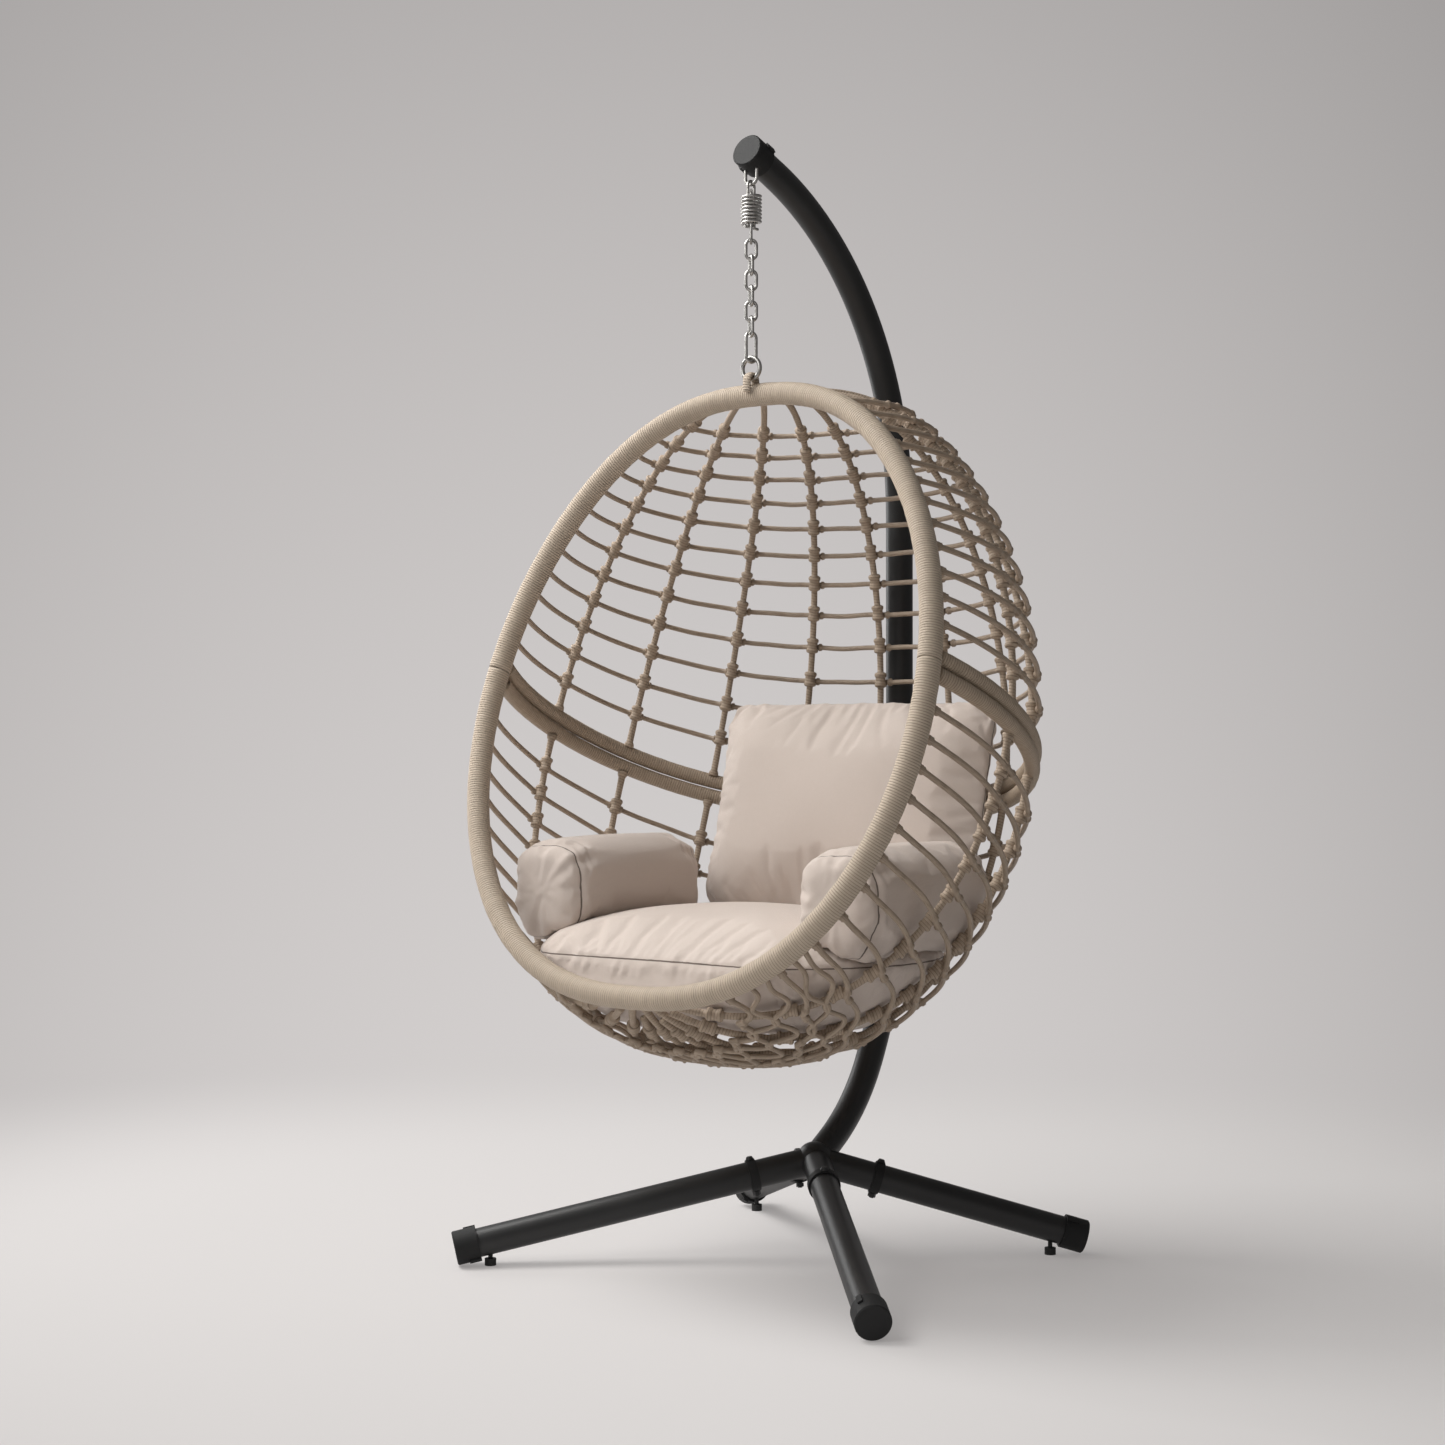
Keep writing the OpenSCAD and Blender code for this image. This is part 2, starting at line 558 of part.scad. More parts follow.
plate_t = 4;
plate_w = 34;
plate_len = 12;
plate_drop = 12;
plate_top_z = arm_hang_z - plate_drop + plate_t;
module u_bolt() color(zinc) placed() on_hanging_line(0) {
    translate([0, 0, bow_z + u_bolt_w / 2]) rotate([-90, 0, 0]) half_turn(u_bolt_w / 2, u_bolt_d);
    for (side = [-1, 1]) translate([side * u_bolt_w / 2, 0, bow_z + u_bolt_w / 2])
        cylinder(d = u_bolt_d, h = plate_top_z + 1.2 * u_bolt_d - bow_z - u_bolt_w / 2, $fn = round_fn);
}

module u_bolt_plate() color(zinc) placed() difference() {
    on_hanging_line(plate_top_z - plate_t) translate([-plate_w / 2, -plate_len / 2, 0])
        cube([plate_w, plate_len, plate_t]);
    u_bolt_holes();
}

module u_bolt_nuts() color(zinc) placed() for (side = [-1, 1])
    on_hanging_line(plate_top_z + cane_gap) translate([side * u_bolt_w / 2, 0, 0]) difference() {
        cylinder(d = 1.8 * u_bolt_d, h = 0.8 * u_bolt_d, $fn = 6);
        translate([0, 0, -1]) cylinder(d = u_bolt_d + 2 * hang_gap / 3, h = 2 * u_bolt_d, $fn = round_fn);
    }

// A draw bar with its loop's bend at z = 0 and its two hooked feet at z = -leg
module draw_bar(leg) {
    translate([0, 0, -draw_w / 2]) rotate([90, 0, 0]) half_turn(draw_w / 2, draw_d);
    for (side = [-1, 1]) translate([side * draw_w / 2, 0, 0]) {
        translate([0, 0, -leg]) cylinder(d = draw_d, h = leg - draw_w / 2, $fn = 24);
        translate([0, 0, -leg]) sphere(d = draw_d, $fn = 24);
        translate([0, 0, -leg]) rotate([0, side * 90, 0])
            cylinder(d = draw_d, h = (spring_d + spring_wire - draw_w) / 2, $fn = 24);
    }
}
draw_foot = cane_gap + draw_d / 2;
module upper_draw_bar() color(zinc) placed() on_hanging_line(upper_loop_z) rotate([0, 0, 90])
    draw_bar(upper_loop_z - spring_bottom + draw_foot);
module lower_draw_bar() color(zinc) placed() on_hanging_line(lower_loop_z) rotate([0, 0, chain_turn + 90])
    mirror([0, 0, 1]) draw_bar(spring_top - lower_loop_z + draw_foot);

// The spring is one unbroken wire with a straight run at each end
curl_rings = 8;
wire_sides = 6;
spring_rise = (spring_len - spring_wire) / spring_turns;
function curl_point(a) = [spring_d / 2 * cos(a), spring_d / 2 * sin(a), spring_rise * a / 360];
function curl_way(a) = unit([-spring_d / 2 * sin(a), spring_d / 2 * cos(a), spring_rise * 180 / PI / 360]);
spring_route = [for (i = [-1 : spring_turns * curl_rings + 1])
    let (last = spring_turns * curl_rings, k = max(0, min(last, i)), a = 360 * k / curl_rings)
    curl_point(a) + (i - k) * spring_wire * curl_way(a)];
function spring_way(i) = let (last = spring_turns * curl_rings, k = max(0, min(last, i - 1)))
    curl_way(360 * k / curl_rings);
spring_points = [for (i = [0 : len(spring_route) - 1])
    let (way = spring_way(i), out = unit(cross([0, 0, 1], way)), up = cross(way, out))
    for (k = [0 : wire_sides - 1])
        spring_route[i] + spring_wire / 2
            * (cos(360 * k / wire_sides) * out + sin(360 * k / wire_sides) * up)];
spring_self_gap = min([for (i = [0 : len(spring_route) - 1], j = [0 : len(spring_route) - 1])
    if (j - i >= curl_rings / 2) norm(spring_route[i] - spring_route[j])]) - spring_wire;
spring_start = 105;
module spring() color(zinc) placed()
    on_hanging_line(spring_bottom + spring_wire / 2) rotate([0, 0, spring_start]) {
    n = len(spring_route);
    walls = [for (i = [0 : n - 2], k = [0 : wire_sides - 1])
        let (a = i * wire_sides + k, b = i * wire_sides + (k + 1) % wire_sides,
            c = a + wire_sides, e = b + wire_sides)
        each [[a, c, b], [b, c, e]]];
    ends = [for (k = [1 : wire_sides - 2]) each [[0, k, k + 1],
        [(n - 1) * wire_sides, (n - 1) * wire_sides + k + 1, (n - 1) * wire_sides + k]]];
    polyhedron(spring_points, concat(walls, ends));
    echo("least gap between the spring's curls, mm", spring_self_gap);
}

// ---- Chain ----
module link(length, width, turn) rotate([0, 0, turn]) {
    bend_r = (width - link_wire) / 2;
    translate([0, 0, -bend_r]) rotate([90, 0, 0]) half_turn(bend_r, link_wire);
    translate([0, 0, bend_r - length]) rotate([-90, 0, 0]) half_turn(bend_r, link_wire);
    for (side = [-1, 1]) translate([side * bend_r, 0, bend_r - length])
        cylinder(d = link_wire, h = length - 2 * bend_r, $fn = 24);
}
module chain_link(i) color(zinc) placed() on_hanging_line(link_top_z - (i - 1) * link_pitch)
    link(link_len, link_w, chain_turn + (i % 2 == 0 ? 90 + even_turn : 0));
module long_link() color(zinc) placed() on_hanging_line(long_link_top)
    link(long_link_len, long_link_w, long_link_turn);
module hanging_ring() color(zinc) placed() on_hanging_line(ring_top_z - ring_d / 2) rotate([90, 0, 0])
    rotate_extrude($fn = round_fn) translate([ring_d / 2, 0]) circle(d = ring_wire, $fn = 24);

// ---- Basket ----
module rim_eye() color(cane) placed() difference() {
    on_hanging_line(eye_centre_z) rotate([0, 0, 90]) {
        rotate([90, 0, 0]) half_turn(eye_r, eye_wire);
        for (side = [-1, 1]) translate([side * eye_r, 0, -rim_r]) cylinder(d = eye_wire, h = rim_r, $fn = 24);
    }
    translate([-rim_d, rim_top_y, rim_top_z]) rotate([0, 90, 0])
        cylinder(r = rim_r + cane_gap, h = 2 * rim_d, $fn = round_fn);
}

rim_steps = 34;
rim_sides = 12;
split_a = angle_of_v(split_v);
split_turn = split_gap / 2 / mouth_len * 360 / PI;
end_turn = 0.1;
// Angles from first to last, with a short step at each end so that the ends are cut square
function rim_angles(first, last) = concat([first],
    [for (i = [0 : rim_steps]) first + end_turn + (last - first - 2 * end_turn) * i / rim_steps], [last]);
module rim_upper() color(cane) placed() on_basket()
    sweep([for (a = rim_angles(-split_a + split_turn, split_a - split_turn)) rim_signed(a)],
        rim_d, rim_sides, [0, 1, 0]);
module rim_lower() color(cane) placed() on_basket()
    sweep([for (a = rim_angles(split_a + split_turn, 360 - split_a - split_turn)) rim_signed(a)],
        rim_d, rim_sides, [0, 1, 0]);
function rim_signed(a) = let (t = a < 0 ? a + 360 : a) rim_point(t);

hoop_steps = 26;
hoop_sides = 10;
hoop_end_gap = 2.4;
module hoop(v0) color(cane) placed() on_basket()
    sweep(moved(fan_path(v0, hoop_end_gap, hoop_steps), fan_normal(v0), hoop_inset),
        hoop_d, hoop_sides, fan_normal(v0));
module hoop_upper() hoop(hoop_upper_v);
module hoop_lower() hoop(hoop_lower_v);

// Clips that hold the two hoops together behind the back cushion
clip_wall = 2;
clip_w = 12;
clip_play = 0.6;
clip_turns = [72, 90, 105];
module clip_section(apart, grow) {
    for (side = [-1, 1]) translate([0, side * apart / 2]) circle(d = hoop_d + 2 * grow, $fn = round_fn);
    square([hoop_d + 2 * grow, apart], center = true);
}
function hoop_point(v0, s) =
    let (back = fan_back(v0), way = unit(fan_point(v0, back, s + 1) - fan_point(v0, back, s - 1)))
    fan_point(v0, back, s) + hoop_inset * unit(cross(fan_normal(v0), way));
module hoop_clips() color(cane) placed() on_basket() for (s = clip_turns) {
    above = hoop_point(hoop_upper_v, s);
    below = hoop_point(hoop_lower_v, s);
    way = unit(hoop_point(split_v, s + 1) - hoop_point(split_v, s - 1));
    up = unit(above - below);
    out = unit(cross(up, way));
    centre = (above + below) / 2;
    apart = norm(above - below);
    multmatrix([[out[0], up[0], -way[0], centre[0]], [out[1], up[1], -way[1], centre[1]],
        [out[2], up[2], -way[2], centre[2]], [0, 0, 0, 1]])
        translate([0, 0, -clip_w / 2]) linear_extrude(clip_w) difference() {
            clip_section(apart, clip_play + clip_wall);
            clip_section(apart, clip_play);
        }
}

rib_sides = 6;
rib_turns = [for (k = [-ribs_per_side : ribs_per_side]) k * rib_step];
module ribs_upper() color(cane) placed() on_basket()
    for (turn = rib_turns) sweep(upper_rib(turn), rib_d, rib_sides, rib_normal(turn));
module ribs_lower() color(cane) placed() on_basket()
    for (turn = rib_turns) sweep(lower_rib(turn), rib_d, rib_sides, rib_normal(turn));

rung_sides = 6;
rung_steps = 20;
module rung(v0) sweep(fan_path(v0, cane_gap, rung_steps), rung_d, rung_sides, fan_normal(v0));
module rungs_upper() color(cane) placed() on_basket() for (i = [0 : upper_rungs - 1]) rung(upper_rung_v(i));
module rungs_lower() color(cane) placed() on_basket() for (i = [0 : lower_rungs - 1]) rung(lower_rung_v(i));

// ---- Cushions ----
function signed_pow(a, p) = sign(a) * pow(abs(a), p);
pillow_around = 36;
pillow_rings = 7;
// How high a pillow stands at a share of the way from its middle to its seam
puff_reach = 2;
puff_edge = 0.62;
function puff(share, edge = puff_edge) = pow(max(0, 1 - pow(share, puff_reach)), edge);
// Outline of a square pillow whose sides draw in between its corners
pillow_corner = 8;
pillow_draw = 0.045;
function pillow_ring(w, h, a, share) =
    let (p = 2 / (2 + (pillow_corner - 2) * pow(share, 2)),
        in = share * (1 - pillow_draw * pow(cos(2 * a), 2)))
    [in * w / 2 * signed_pow(cos(a), p), in * h / 2 * signed_pow(sin(a), p)];

module back_cushion() color(fabric) placed()
    translate([back_x, back_y, back_z]) rotate([90 - back_lean, 0, 0]) {
    shares = [for (i = [1 : 2 * pillow_rings - 1]) i <= pillow_rings ? sin(90 * i / pillow_rings)
        : sin(90 * (2 * pillow_rings - i) / pillow_rings)];
    rings = [for (i = [0 : len(shares) - 1])
        [for (k = [0 : pillow_around - 1])
            let (at = pillow_ring(back_w, back_h, 360 * k / pillow_around, shares[i]),
                rise = (i < pillow_rings ? 1 : -1) * back_t / 2 * puff(shares[i]))
            [at[0], at[1], rise]]];
    skin_rings(rings, [0, 0, back_t / 2], [0, 0, -back_t / 2]);
}

bolster_around = 24;
bolster_steps = 14;
bolster_round = 3.2;
bolster_end = 8;
function bolster_fill(t) = pow(1 - pow(abs(t), bolster_end), 1 / bolster_end);
module arm_bolster(side) color(fabric) placed() translate([side * bolster_x, bolster_y, bolster_z]) {
    spans = [for (i = [1 : bolster_steps - 1]) -cos(180 * i / bolster_steps)];
    rings = [for (t = spans) [for (k = [0 : bolster_around - 1])
        let (a = 360 * k / bolster_around)
        pressed([bolster_w / 2 * bolster_fill(t) * signed_pow(cos(a), 2 / bolster_round), bolster_len / 2 * t,
            bolster_h / 2 * bolster_fill(t) * signed_pow(sin(a), 2 / bolster_round)], side)]];
    skin_rings(rings, [0, -bolster_len / 2, 0], [0, bolster_len / 2, 0]);
}
// A bolster's point after the seat cushion and the basket press it in
press_gap = 2.2;
side_gap = 3.6;
function pressed(p, side) =
    let (y = p[1] + bolster_y, z = p[2] + bolster_z, x = side * p[0] + bolster_x)
    let (b = to_basket([x, y, z]), room = skin_x(-b[2], b[1]) - seat_margin - side_gap, kept = min(x, room))
    [side * (kept - bolster_x), p[1], max(z, seat_top(kept, y) + press_gap) - bolster_z];
function seat_top(x, y) =
    let (r = norm([x, y - seat_mid_y]), a = atan2(y - seat_mid_y, x), share = r / (seat_edge_at(a, 0)))
    seat_seam_z + seat_crown * puff(min(1, share), crown_edge);

// Places of the cushions, from the basket that holds them
seat_seam_z = rim_top_z - mouth_len * cos(rim_lean) + seat_rise;
seat_mid_y = rim_top_y - 20;
back_x = 35;
back_y = rim_top_y + 223.2;
back_z = seat_seam_z + 240;
bolster_x = mouth_w / 2 - 150.5;
bolster_y = rim_top_y - 28.5;
bolster_z = seat_seam_z + 97.5;

// The seat cushion is cut to the basket at its seam, and its belly lies in the basket's bottom
seat_margin = rung_d / 2 + cane_gap + rib_d + cushion_gap;
crown_edge = 0.65;
belly_lift = 12.5;
function to_basket(p) =
    let (dy = p[1] - rim_top_y, dz = p[2] - rim_top_z)
    [p[0], dy * cos(rim_lean) - dz * sin(rim_lean), dy * sin(rim_lean) + dz * cos(rim_lean)];
function is_inside(p) = let (b = to_basket(p)) b[1] > rim_r + cushion_gap
    && skin_room(-b[2], b[1]) > 0 && skin_x(-b[2], b[1]) > abs(b[0]);
function seat_reach(a, z, near, far, n) = n == 0 ? near :
    let (m = (near + far) / 2)
    is_inside([m * cos(a), seat_mid_y + m * sin(a), z])
        ? seat_reach(a, z, m, far, n - 1) : seat_reach(a, z, near, m, n - 1);
function seat_edge_at(a, drop) =
    seat_reach(a, seat_seam_z - drop - belly_lift, 0, mouth_w, find_steps) - seat_margin;
function seat_ring(drop) = [for (k = [0 : pillow_around - 1])
    let (a = 360 * k / pillow_around) seat_edge_at(a, drop) * [cos(a), sin(a)]];
module seat_cushion() color(fabric) placed() translate([0, seat_mid_y, seat_seam_z]) {
    edge = seat_ring(0);
    crown = [for (i = [1 : pillow_rings - 1])
        let (share = sin(90 * i / pillow_rings))
        [for (p = edge) [share * p[0], share * p[1], seat_crown * puff(share, crown_edge)]]];
    belly = [for (i = [0 : pillow_rings - 1])
        let (drop = seat_belly * sin(90 * i / pillow_rings))
        [for (p = seat_ring(drop)) [p[0], p[1], -drop]]];
    skin_rings(concat(crown, belly), [0, 0, seat_crown], [0, 0, -seat_belly]);
}

hub();
lower_post();
upper_arm();
arm_cap();
leg(FRONT_LEFT);  // leg_front_left
leg(FRONT_RIGHT);  // leg_front_right
leg(REAR_LEFT);  // leg_rear_left
leg(REAR_RIGHT);  // leg_rear_right
foot_cap(FRONT_LEFT);  // foot_cap_front_left
foot_cap(FRONT_RIGHT);  // foot_cap_front_right
foot_cap(REAR_LEFT);  // foot_cap_rear_left
foot_cap(REAR_RIGHT);  // foot_cap_rear_right
leg_collars();
leg_bolts();
leg_nuts();
levelling_feet();
post_bolts();
post_nuts();
u_bolt();
u_bolt_plate();
u_bolt_nuts();
upper_draw_bar();
spring();
lower_draw_bar();
chain_link(1);  // chain_link_1
chain_link(2);  // chain_link_2
chain_link(3);  // chain_link_3
chain_link(4);  // chain_link_4
chain_link(5);  // chain_link_5
chain_link(6);  // chain_link_6
long_link();
hanging_ring();
rim_eye();
rim_upper();
rim_lower();
hoop_upper();
hoop_lower();
hoop_clips();
ribs_upper();
ribs_lower();
rungs_upper();
rungs_lower();
seat_cushion();
back_cushion();
arm_bolster(-1);  // arm_bolster_left
arm_bolster(1);  // arm_bolster_right
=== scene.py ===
"""Hanging egg chair: cane work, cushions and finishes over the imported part, in metres."""
import json
import math

import bmesh
import bpy
from mathutils import Matrix, Vector, noise


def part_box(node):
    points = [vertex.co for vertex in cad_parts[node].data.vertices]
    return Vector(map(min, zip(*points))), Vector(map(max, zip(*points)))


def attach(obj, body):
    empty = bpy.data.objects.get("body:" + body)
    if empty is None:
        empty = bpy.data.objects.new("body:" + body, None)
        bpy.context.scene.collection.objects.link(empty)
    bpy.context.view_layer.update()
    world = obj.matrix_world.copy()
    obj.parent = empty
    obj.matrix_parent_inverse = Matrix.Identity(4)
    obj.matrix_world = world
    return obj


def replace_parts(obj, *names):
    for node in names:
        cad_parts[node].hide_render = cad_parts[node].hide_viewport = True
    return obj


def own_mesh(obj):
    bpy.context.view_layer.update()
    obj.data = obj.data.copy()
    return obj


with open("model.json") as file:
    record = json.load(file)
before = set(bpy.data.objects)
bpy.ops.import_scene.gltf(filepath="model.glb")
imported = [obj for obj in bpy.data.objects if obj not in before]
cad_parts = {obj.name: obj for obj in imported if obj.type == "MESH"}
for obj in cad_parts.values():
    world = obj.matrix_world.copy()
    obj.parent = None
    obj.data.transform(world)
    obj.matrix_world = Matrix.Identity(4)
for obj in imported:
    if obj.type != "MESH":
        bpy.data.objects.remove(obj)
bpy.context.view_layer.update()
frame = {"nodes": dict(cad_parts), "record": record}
nodes = frame["nodes"]
MM = 0.001

# ---- Sizes of the basket, in millimetres, as in the part ----
MOUTH_W, MOUTH_LEN, BASKET_DEPTH, WIDEST_BACK = 917, 1062, 571, 176
RIM_LEAN = math.radians(18.2)
RIM_R, HOOP_R, RIB_R, RUNG_R = 20, 13.5, 6.4, 4.6
SPLIT_V, HOOP_OFFSET = 494, 14
RIM_TOP = (-75.5928, 1507.09)
CENTRE_Y = 99.7072
RIB_INSET = 11.8
HOOP_INSET = RIB_INSET / 2
RIB_STEP, RIB_CLEARANCE = 16.8, 2
RIB_TURNS = [math.radians(RIB_STEP * k) for k in range(-4, 5)]
SQUARENESS, TAPER, SWELL = 2.45, 0.059, -0.046
BACK_DROP, BACK_SPREAD = 19, 0.152
FAN_LEVEL, FAN_RATE = 328, 0.00081
SWAY_EASE = 8  # a rung sways fully between the first and the last eighth of its length
UPPER_RUNGS = [21 + 26.808 * i + 0.91 * i * i for i in range(12)]
LOWER_RUNGS = [566 + 47 * i for i in range(11)]


def halve(test, low, high, steps=26):
    """The point between low and high where a test stops being true"""
    for _ in range(steps):
        middle = (low + high) / 2
        if test(middle):
            low = middle
        else:
            high = middle
    return low


# ---- The basket's skin: v runs down the rim's plane, y runs back from it ----
def room_at(u, y):
    """How far inside the skin's outline a place of the middle plane is: 0 on it, less outside"""
    reach = (BASKET_DEPTH - WIDEST_BACK) * (1 + BACK_SPREAD * u)
    return 1 - u * u - ((y - WIDEST_BACK - BACK_DROP * u) / reach) ** 2


U_TOP = halve(lambda u: room_at(u, 0) > 0, 0, -1)
U_BOTTOM = halve(lambda u: room_at(u, 0) > 0, 0, 1)
HALF_LEN = MOUTH_LEN / (U_BOTTOM - U_TOP)
SKIN_MID = -U_TOP * HALF_LEN
SKIN_W = MOUTH_W / 2 / room_at(0, 0) ** (1 / SQUARENESS)


def skin_x(v, y):
    """Half the basket's width at a place"""
    u = (v - SKIN_MID) / HALF_LEN
    room = room_at(u, y)
    return 0 if room <= 0 else SKIN_W * (1 + TAPER * u + SWELL * u * u) * room ** (1 / SQUARENESS)


def rim_point(a):
    """A point of the rim's middle line, an angle from its top"""
    v = MOUTH_LEN * (1 - math.cos(a)) / 2
    return Vector((math.copysign(skin_x(v, 0), math.sin(a)), 0, -v))


def fan(v0):
    """How much a plane of canes fans out; the two hoops share one slope"""
    return FAN_RATE * ((SPLIT_V if abs(v0 - SPLIT_V) < 2 * HOOP_R else v0) - FAN_LEVEL)


def fan_point(v0, back, s):
    """A point of the skin in a rung's plane, from the right at 0 over the back to the left at pi"""
    y = back * math.sin(s)
    v = v0 + fan(v0) * y
    return Vector((math.copysign(skin_x(v, y), math.cos(s)), y, -v))


def fan_back(v0):
    """How far back the skin lies in a rung's plane"""
    return halve(lambda y: skin_x(v0 + fan(v0) * y, y) > 0, WIDEST_BACK / 3, 2 * BASKET_DEPTH)


def fan_path(v0, steps, into_rim, sway=None):
    """A cane across the basket's back, from rim to rim. Sway takes a point of the plain cane and
    gives how far the cane there lies up or down the skin."""
    back = fan_back(v0)
    edge = fan_point(v0, back, 0)
    start = halve(lambda s: (fan_point(v0, back, s) - edge).length < RIM_R - into_rim, 0, 1.4)
    points = []
    for i in range(steps + 1):
        s = start + (math.pi - 2 * start) * i / steps
        p = fan_point(v0, back, s)
        if sway:
            level = v0 + sway(p) * min(1, SWAY_EASE * i / steps, SWAY_EASE * (steps - i) / steps)
            p = fan_point(level, fan_back(level), s)
        points.append(p)
    return points


def rib_at(turn, a):
    """The skin's point at an angle round the split line, in the half plane of one rib"""
    def inside(r):
        v, out = SPLIT_V - r * math.cos(a), r * math.sin(a)
        return skin_x(v, out * math.cos(turn)) > abs(out * math.sin(turn)) + 1e-6
    r = halve(inside, 0, 2 * MOUTH_LEN)
    out = r * math.sin(a)
    return Vector((out * math.sin(turn), out * math.cos(turn), -(SPLIT_V - r * math.cos(a))))


def beside(path, normal, by):
    """A path moved sideways in its own plane"""
    ends = [path[0]] + path + [path[-1]]
    return [p + by * normal.cross(ends[i + 2] - ends[i]).normalized() for i, p in enumerate(path)]


def in_place(p):
    """A point of the basket in the part's frame"""
    c, s = math.cos(RIM_LEAN), math.sin(RIM_LEAN)
    return Vector((p.x, RIM_TOP[0] + p.y * c + p.z * s, RIM_TOP[1] - p.y * s + p.z * c)) * MM


# ---- Tubes ----
def even(path, step):
    """The same line with points at an even step, and how far along each one lies"""
    lengths = [0]
    for a, b in zip(path, path[1:]):
        lengths.append(lengths[-1] + (b - a).length)
    count = max(2, round(lengths[-1] / step))
    points, k = [], 0
    for i in range(count + 1):
        at = lengths[-1] * i / count
        while k < len(path) - 2 and lengths[k + 1] < at:
            k += 1
        share = (at - lengths[k]) / max(lengths[k + 1] - lengths[k], 1e-9)
        points.append(path[k].lerp(path[k + 1], share))
    return points, [lengths[-1] * i / count for i in range(count + 1)]


def frames_along(path):
    """A turned and placed matrix for each point, with no needless twist"""
    ways = [(path[min(i + 1, len(path) - 1)] - path[max(i - 1, 0)]).normalized() for i in range(len(path))]
    side = ways[0].orthogonal().normalized()
    out = []
    for p, way in zip(path, ways):
        side = (side - way * side.dot(way)).normalized()
        up = way.cross(side)
        out.append(Matrix((side, up, way)).transposed().to_4x4())
        out[-1].translation = p
    return out


def cane(path, radii, sides):
    """A mesh of a round cane: one ring is drawn and pulled along the path"""
    part = bmesh.new()
    lay = part.verts.layers.float_vector.new("lay")
    bmesh.ops.create_circle(part, segments=sides, radius=1)
    ring = list(part.verts)
    for v in ring:
        v[lay] = (0, v.co.x, v.co.y)
    places = [f @ Matrix.Diagonal((r, r, 1, 1)) for f, r in zip(frames_along(path), radii)]
    bmesh.ops.transform(part, matrix=places[0], verts=ring)
    edges = first = list(part.edges)
    travelled = 0
    for i in range(1, len(path)):
        grown = bmesh.ops.extrude_edge_only(part, edges=edges)["geom"]
        ring = [g for g in grown if isinstance(g, bmesh.types.BMVert)]
        edges = [g for g in grown if isinstance(g, bmesh.types.BMEdge)]
        bmesh.ops.transform(part, matrix=places[i] @ places[i - 1].inverted(), verts=ring)
        travelled += (path[i] - path[i - 1]).length
        for v in ring:
            v[lay] = (travelled, v[lay].y, v[lay].z)
    bmesh.ops.holes_fill(part, edges=first + edges, sides=0)
    bmesh.ops.recalc_face_normals(part, faces=part.faces)
    mesh = bpy.data.meshes.new("cane")
    part.to_mesh(mesh)
    part.free()
    return mesh


def gather(name, meshes, body, finish):
    """One piece of several meshes, smooth all over, which rides on a body"""
    whole = bmesh.new()
    for mesh in meshes:
        whole.from_mesh(mesh)
        bpy.data.meshes.remove(mesh)
    mesh = bpy.data.meshes.new(name)
    whole.to_mesh(mesh)
    whole.free()
    for face in mesh.polygons:
        face.use_smooth = True
    piece = bpy.data.objects.new(name, mesh)
    bpy.context.scene.collection.objects.link(piece)
    mesh.materials.append(finish)
    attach(piece, body)
    return piece


# ---- Shader writing ----
class Wire:
    """A socket that can stand in a sum"""

    def __init__(self, graph, socket):
        self.graph, self.socket = graph, socket

    def maths(self, operation, *others):
        return self.graph.node("ShaderNodeMath", {"operation": operation}, self, *others)[0]

    def __add__(self, other):
        return self.maths("ADD", other)

    def __sub__(self, other):
        return self.maths("SUBTRACT", other)

    def __rsub__(self, other):
        return self.graph.node("ShaderNodeMath", {"operation": "SUBTRACT"}, other, self)[0]

    def __mul__(self, other):
        return self.maths("MULTIPLY", other)

    def __truediv__(self, other):
        return self.maths("DIVIDE", other)

    def __pow__(self, other):
        return self.maths("POWER", other)

    __radd__ = __add__
    __rmul__ = __mul__


class Graph:
    """A node tree under construction"""

    def __init__(self, tree):
        self.tree = tree

    def node(self, kind, settings=None, *values, **named):
        made = self.tree.nodes.new(kind)
        for key, value in (settings or {}).items():
            setattr(made, key, value)
        wanted = list(enumerate(values)) + [(k.replace("_", " "), v) for k, v in named.items()]
        for key, value in wanted:
            if isinstance(value, Wire):
                self.tree.links.new(value.socket, made.inputs[key])
            elif value is not None:
                made.inputs[key].default_value = value
        return [Wire(self, out) for out in made.outputs]

    def place(self):
        return self.node("ShaderNodeTexCoord")[3]

    def noise(self, scale, detail=2, rough=0.5, at=None):
        return self.node("ShaderNodeTexNoise", None, Vector=at or self.place(), Scale=scale, Detail=detail,
                         Roughness=rough)[0]

    def attribute(self, name):
        return self.node("ShaderNodeAttribute", {"attribute_name": name})

    def clamp(self, value, low, high):
        """0 up to low, 1 from high on, and a soft step between"""
        return self.node("ShaderNodeMapRange", {"interpolation_type": "SMOOTHSTEP"}, value, low, high, 0.0,
                         1.0)[0]

    def mix(self, share, one, two):
        made = self.tree.nodes.new("ShaderNodeMix")
        made.data_type = "RGBA"
        for key, value in ((0, share), (6, one), (7, two)):
            if isinstance(value, Wire):
                self.tree.links.new(value.socket, made.inputs[key])
            else:
                made.inputs[key].default_value = value if key == 0 else (*value, 1)
        return Wire(self, made.outputs[2])


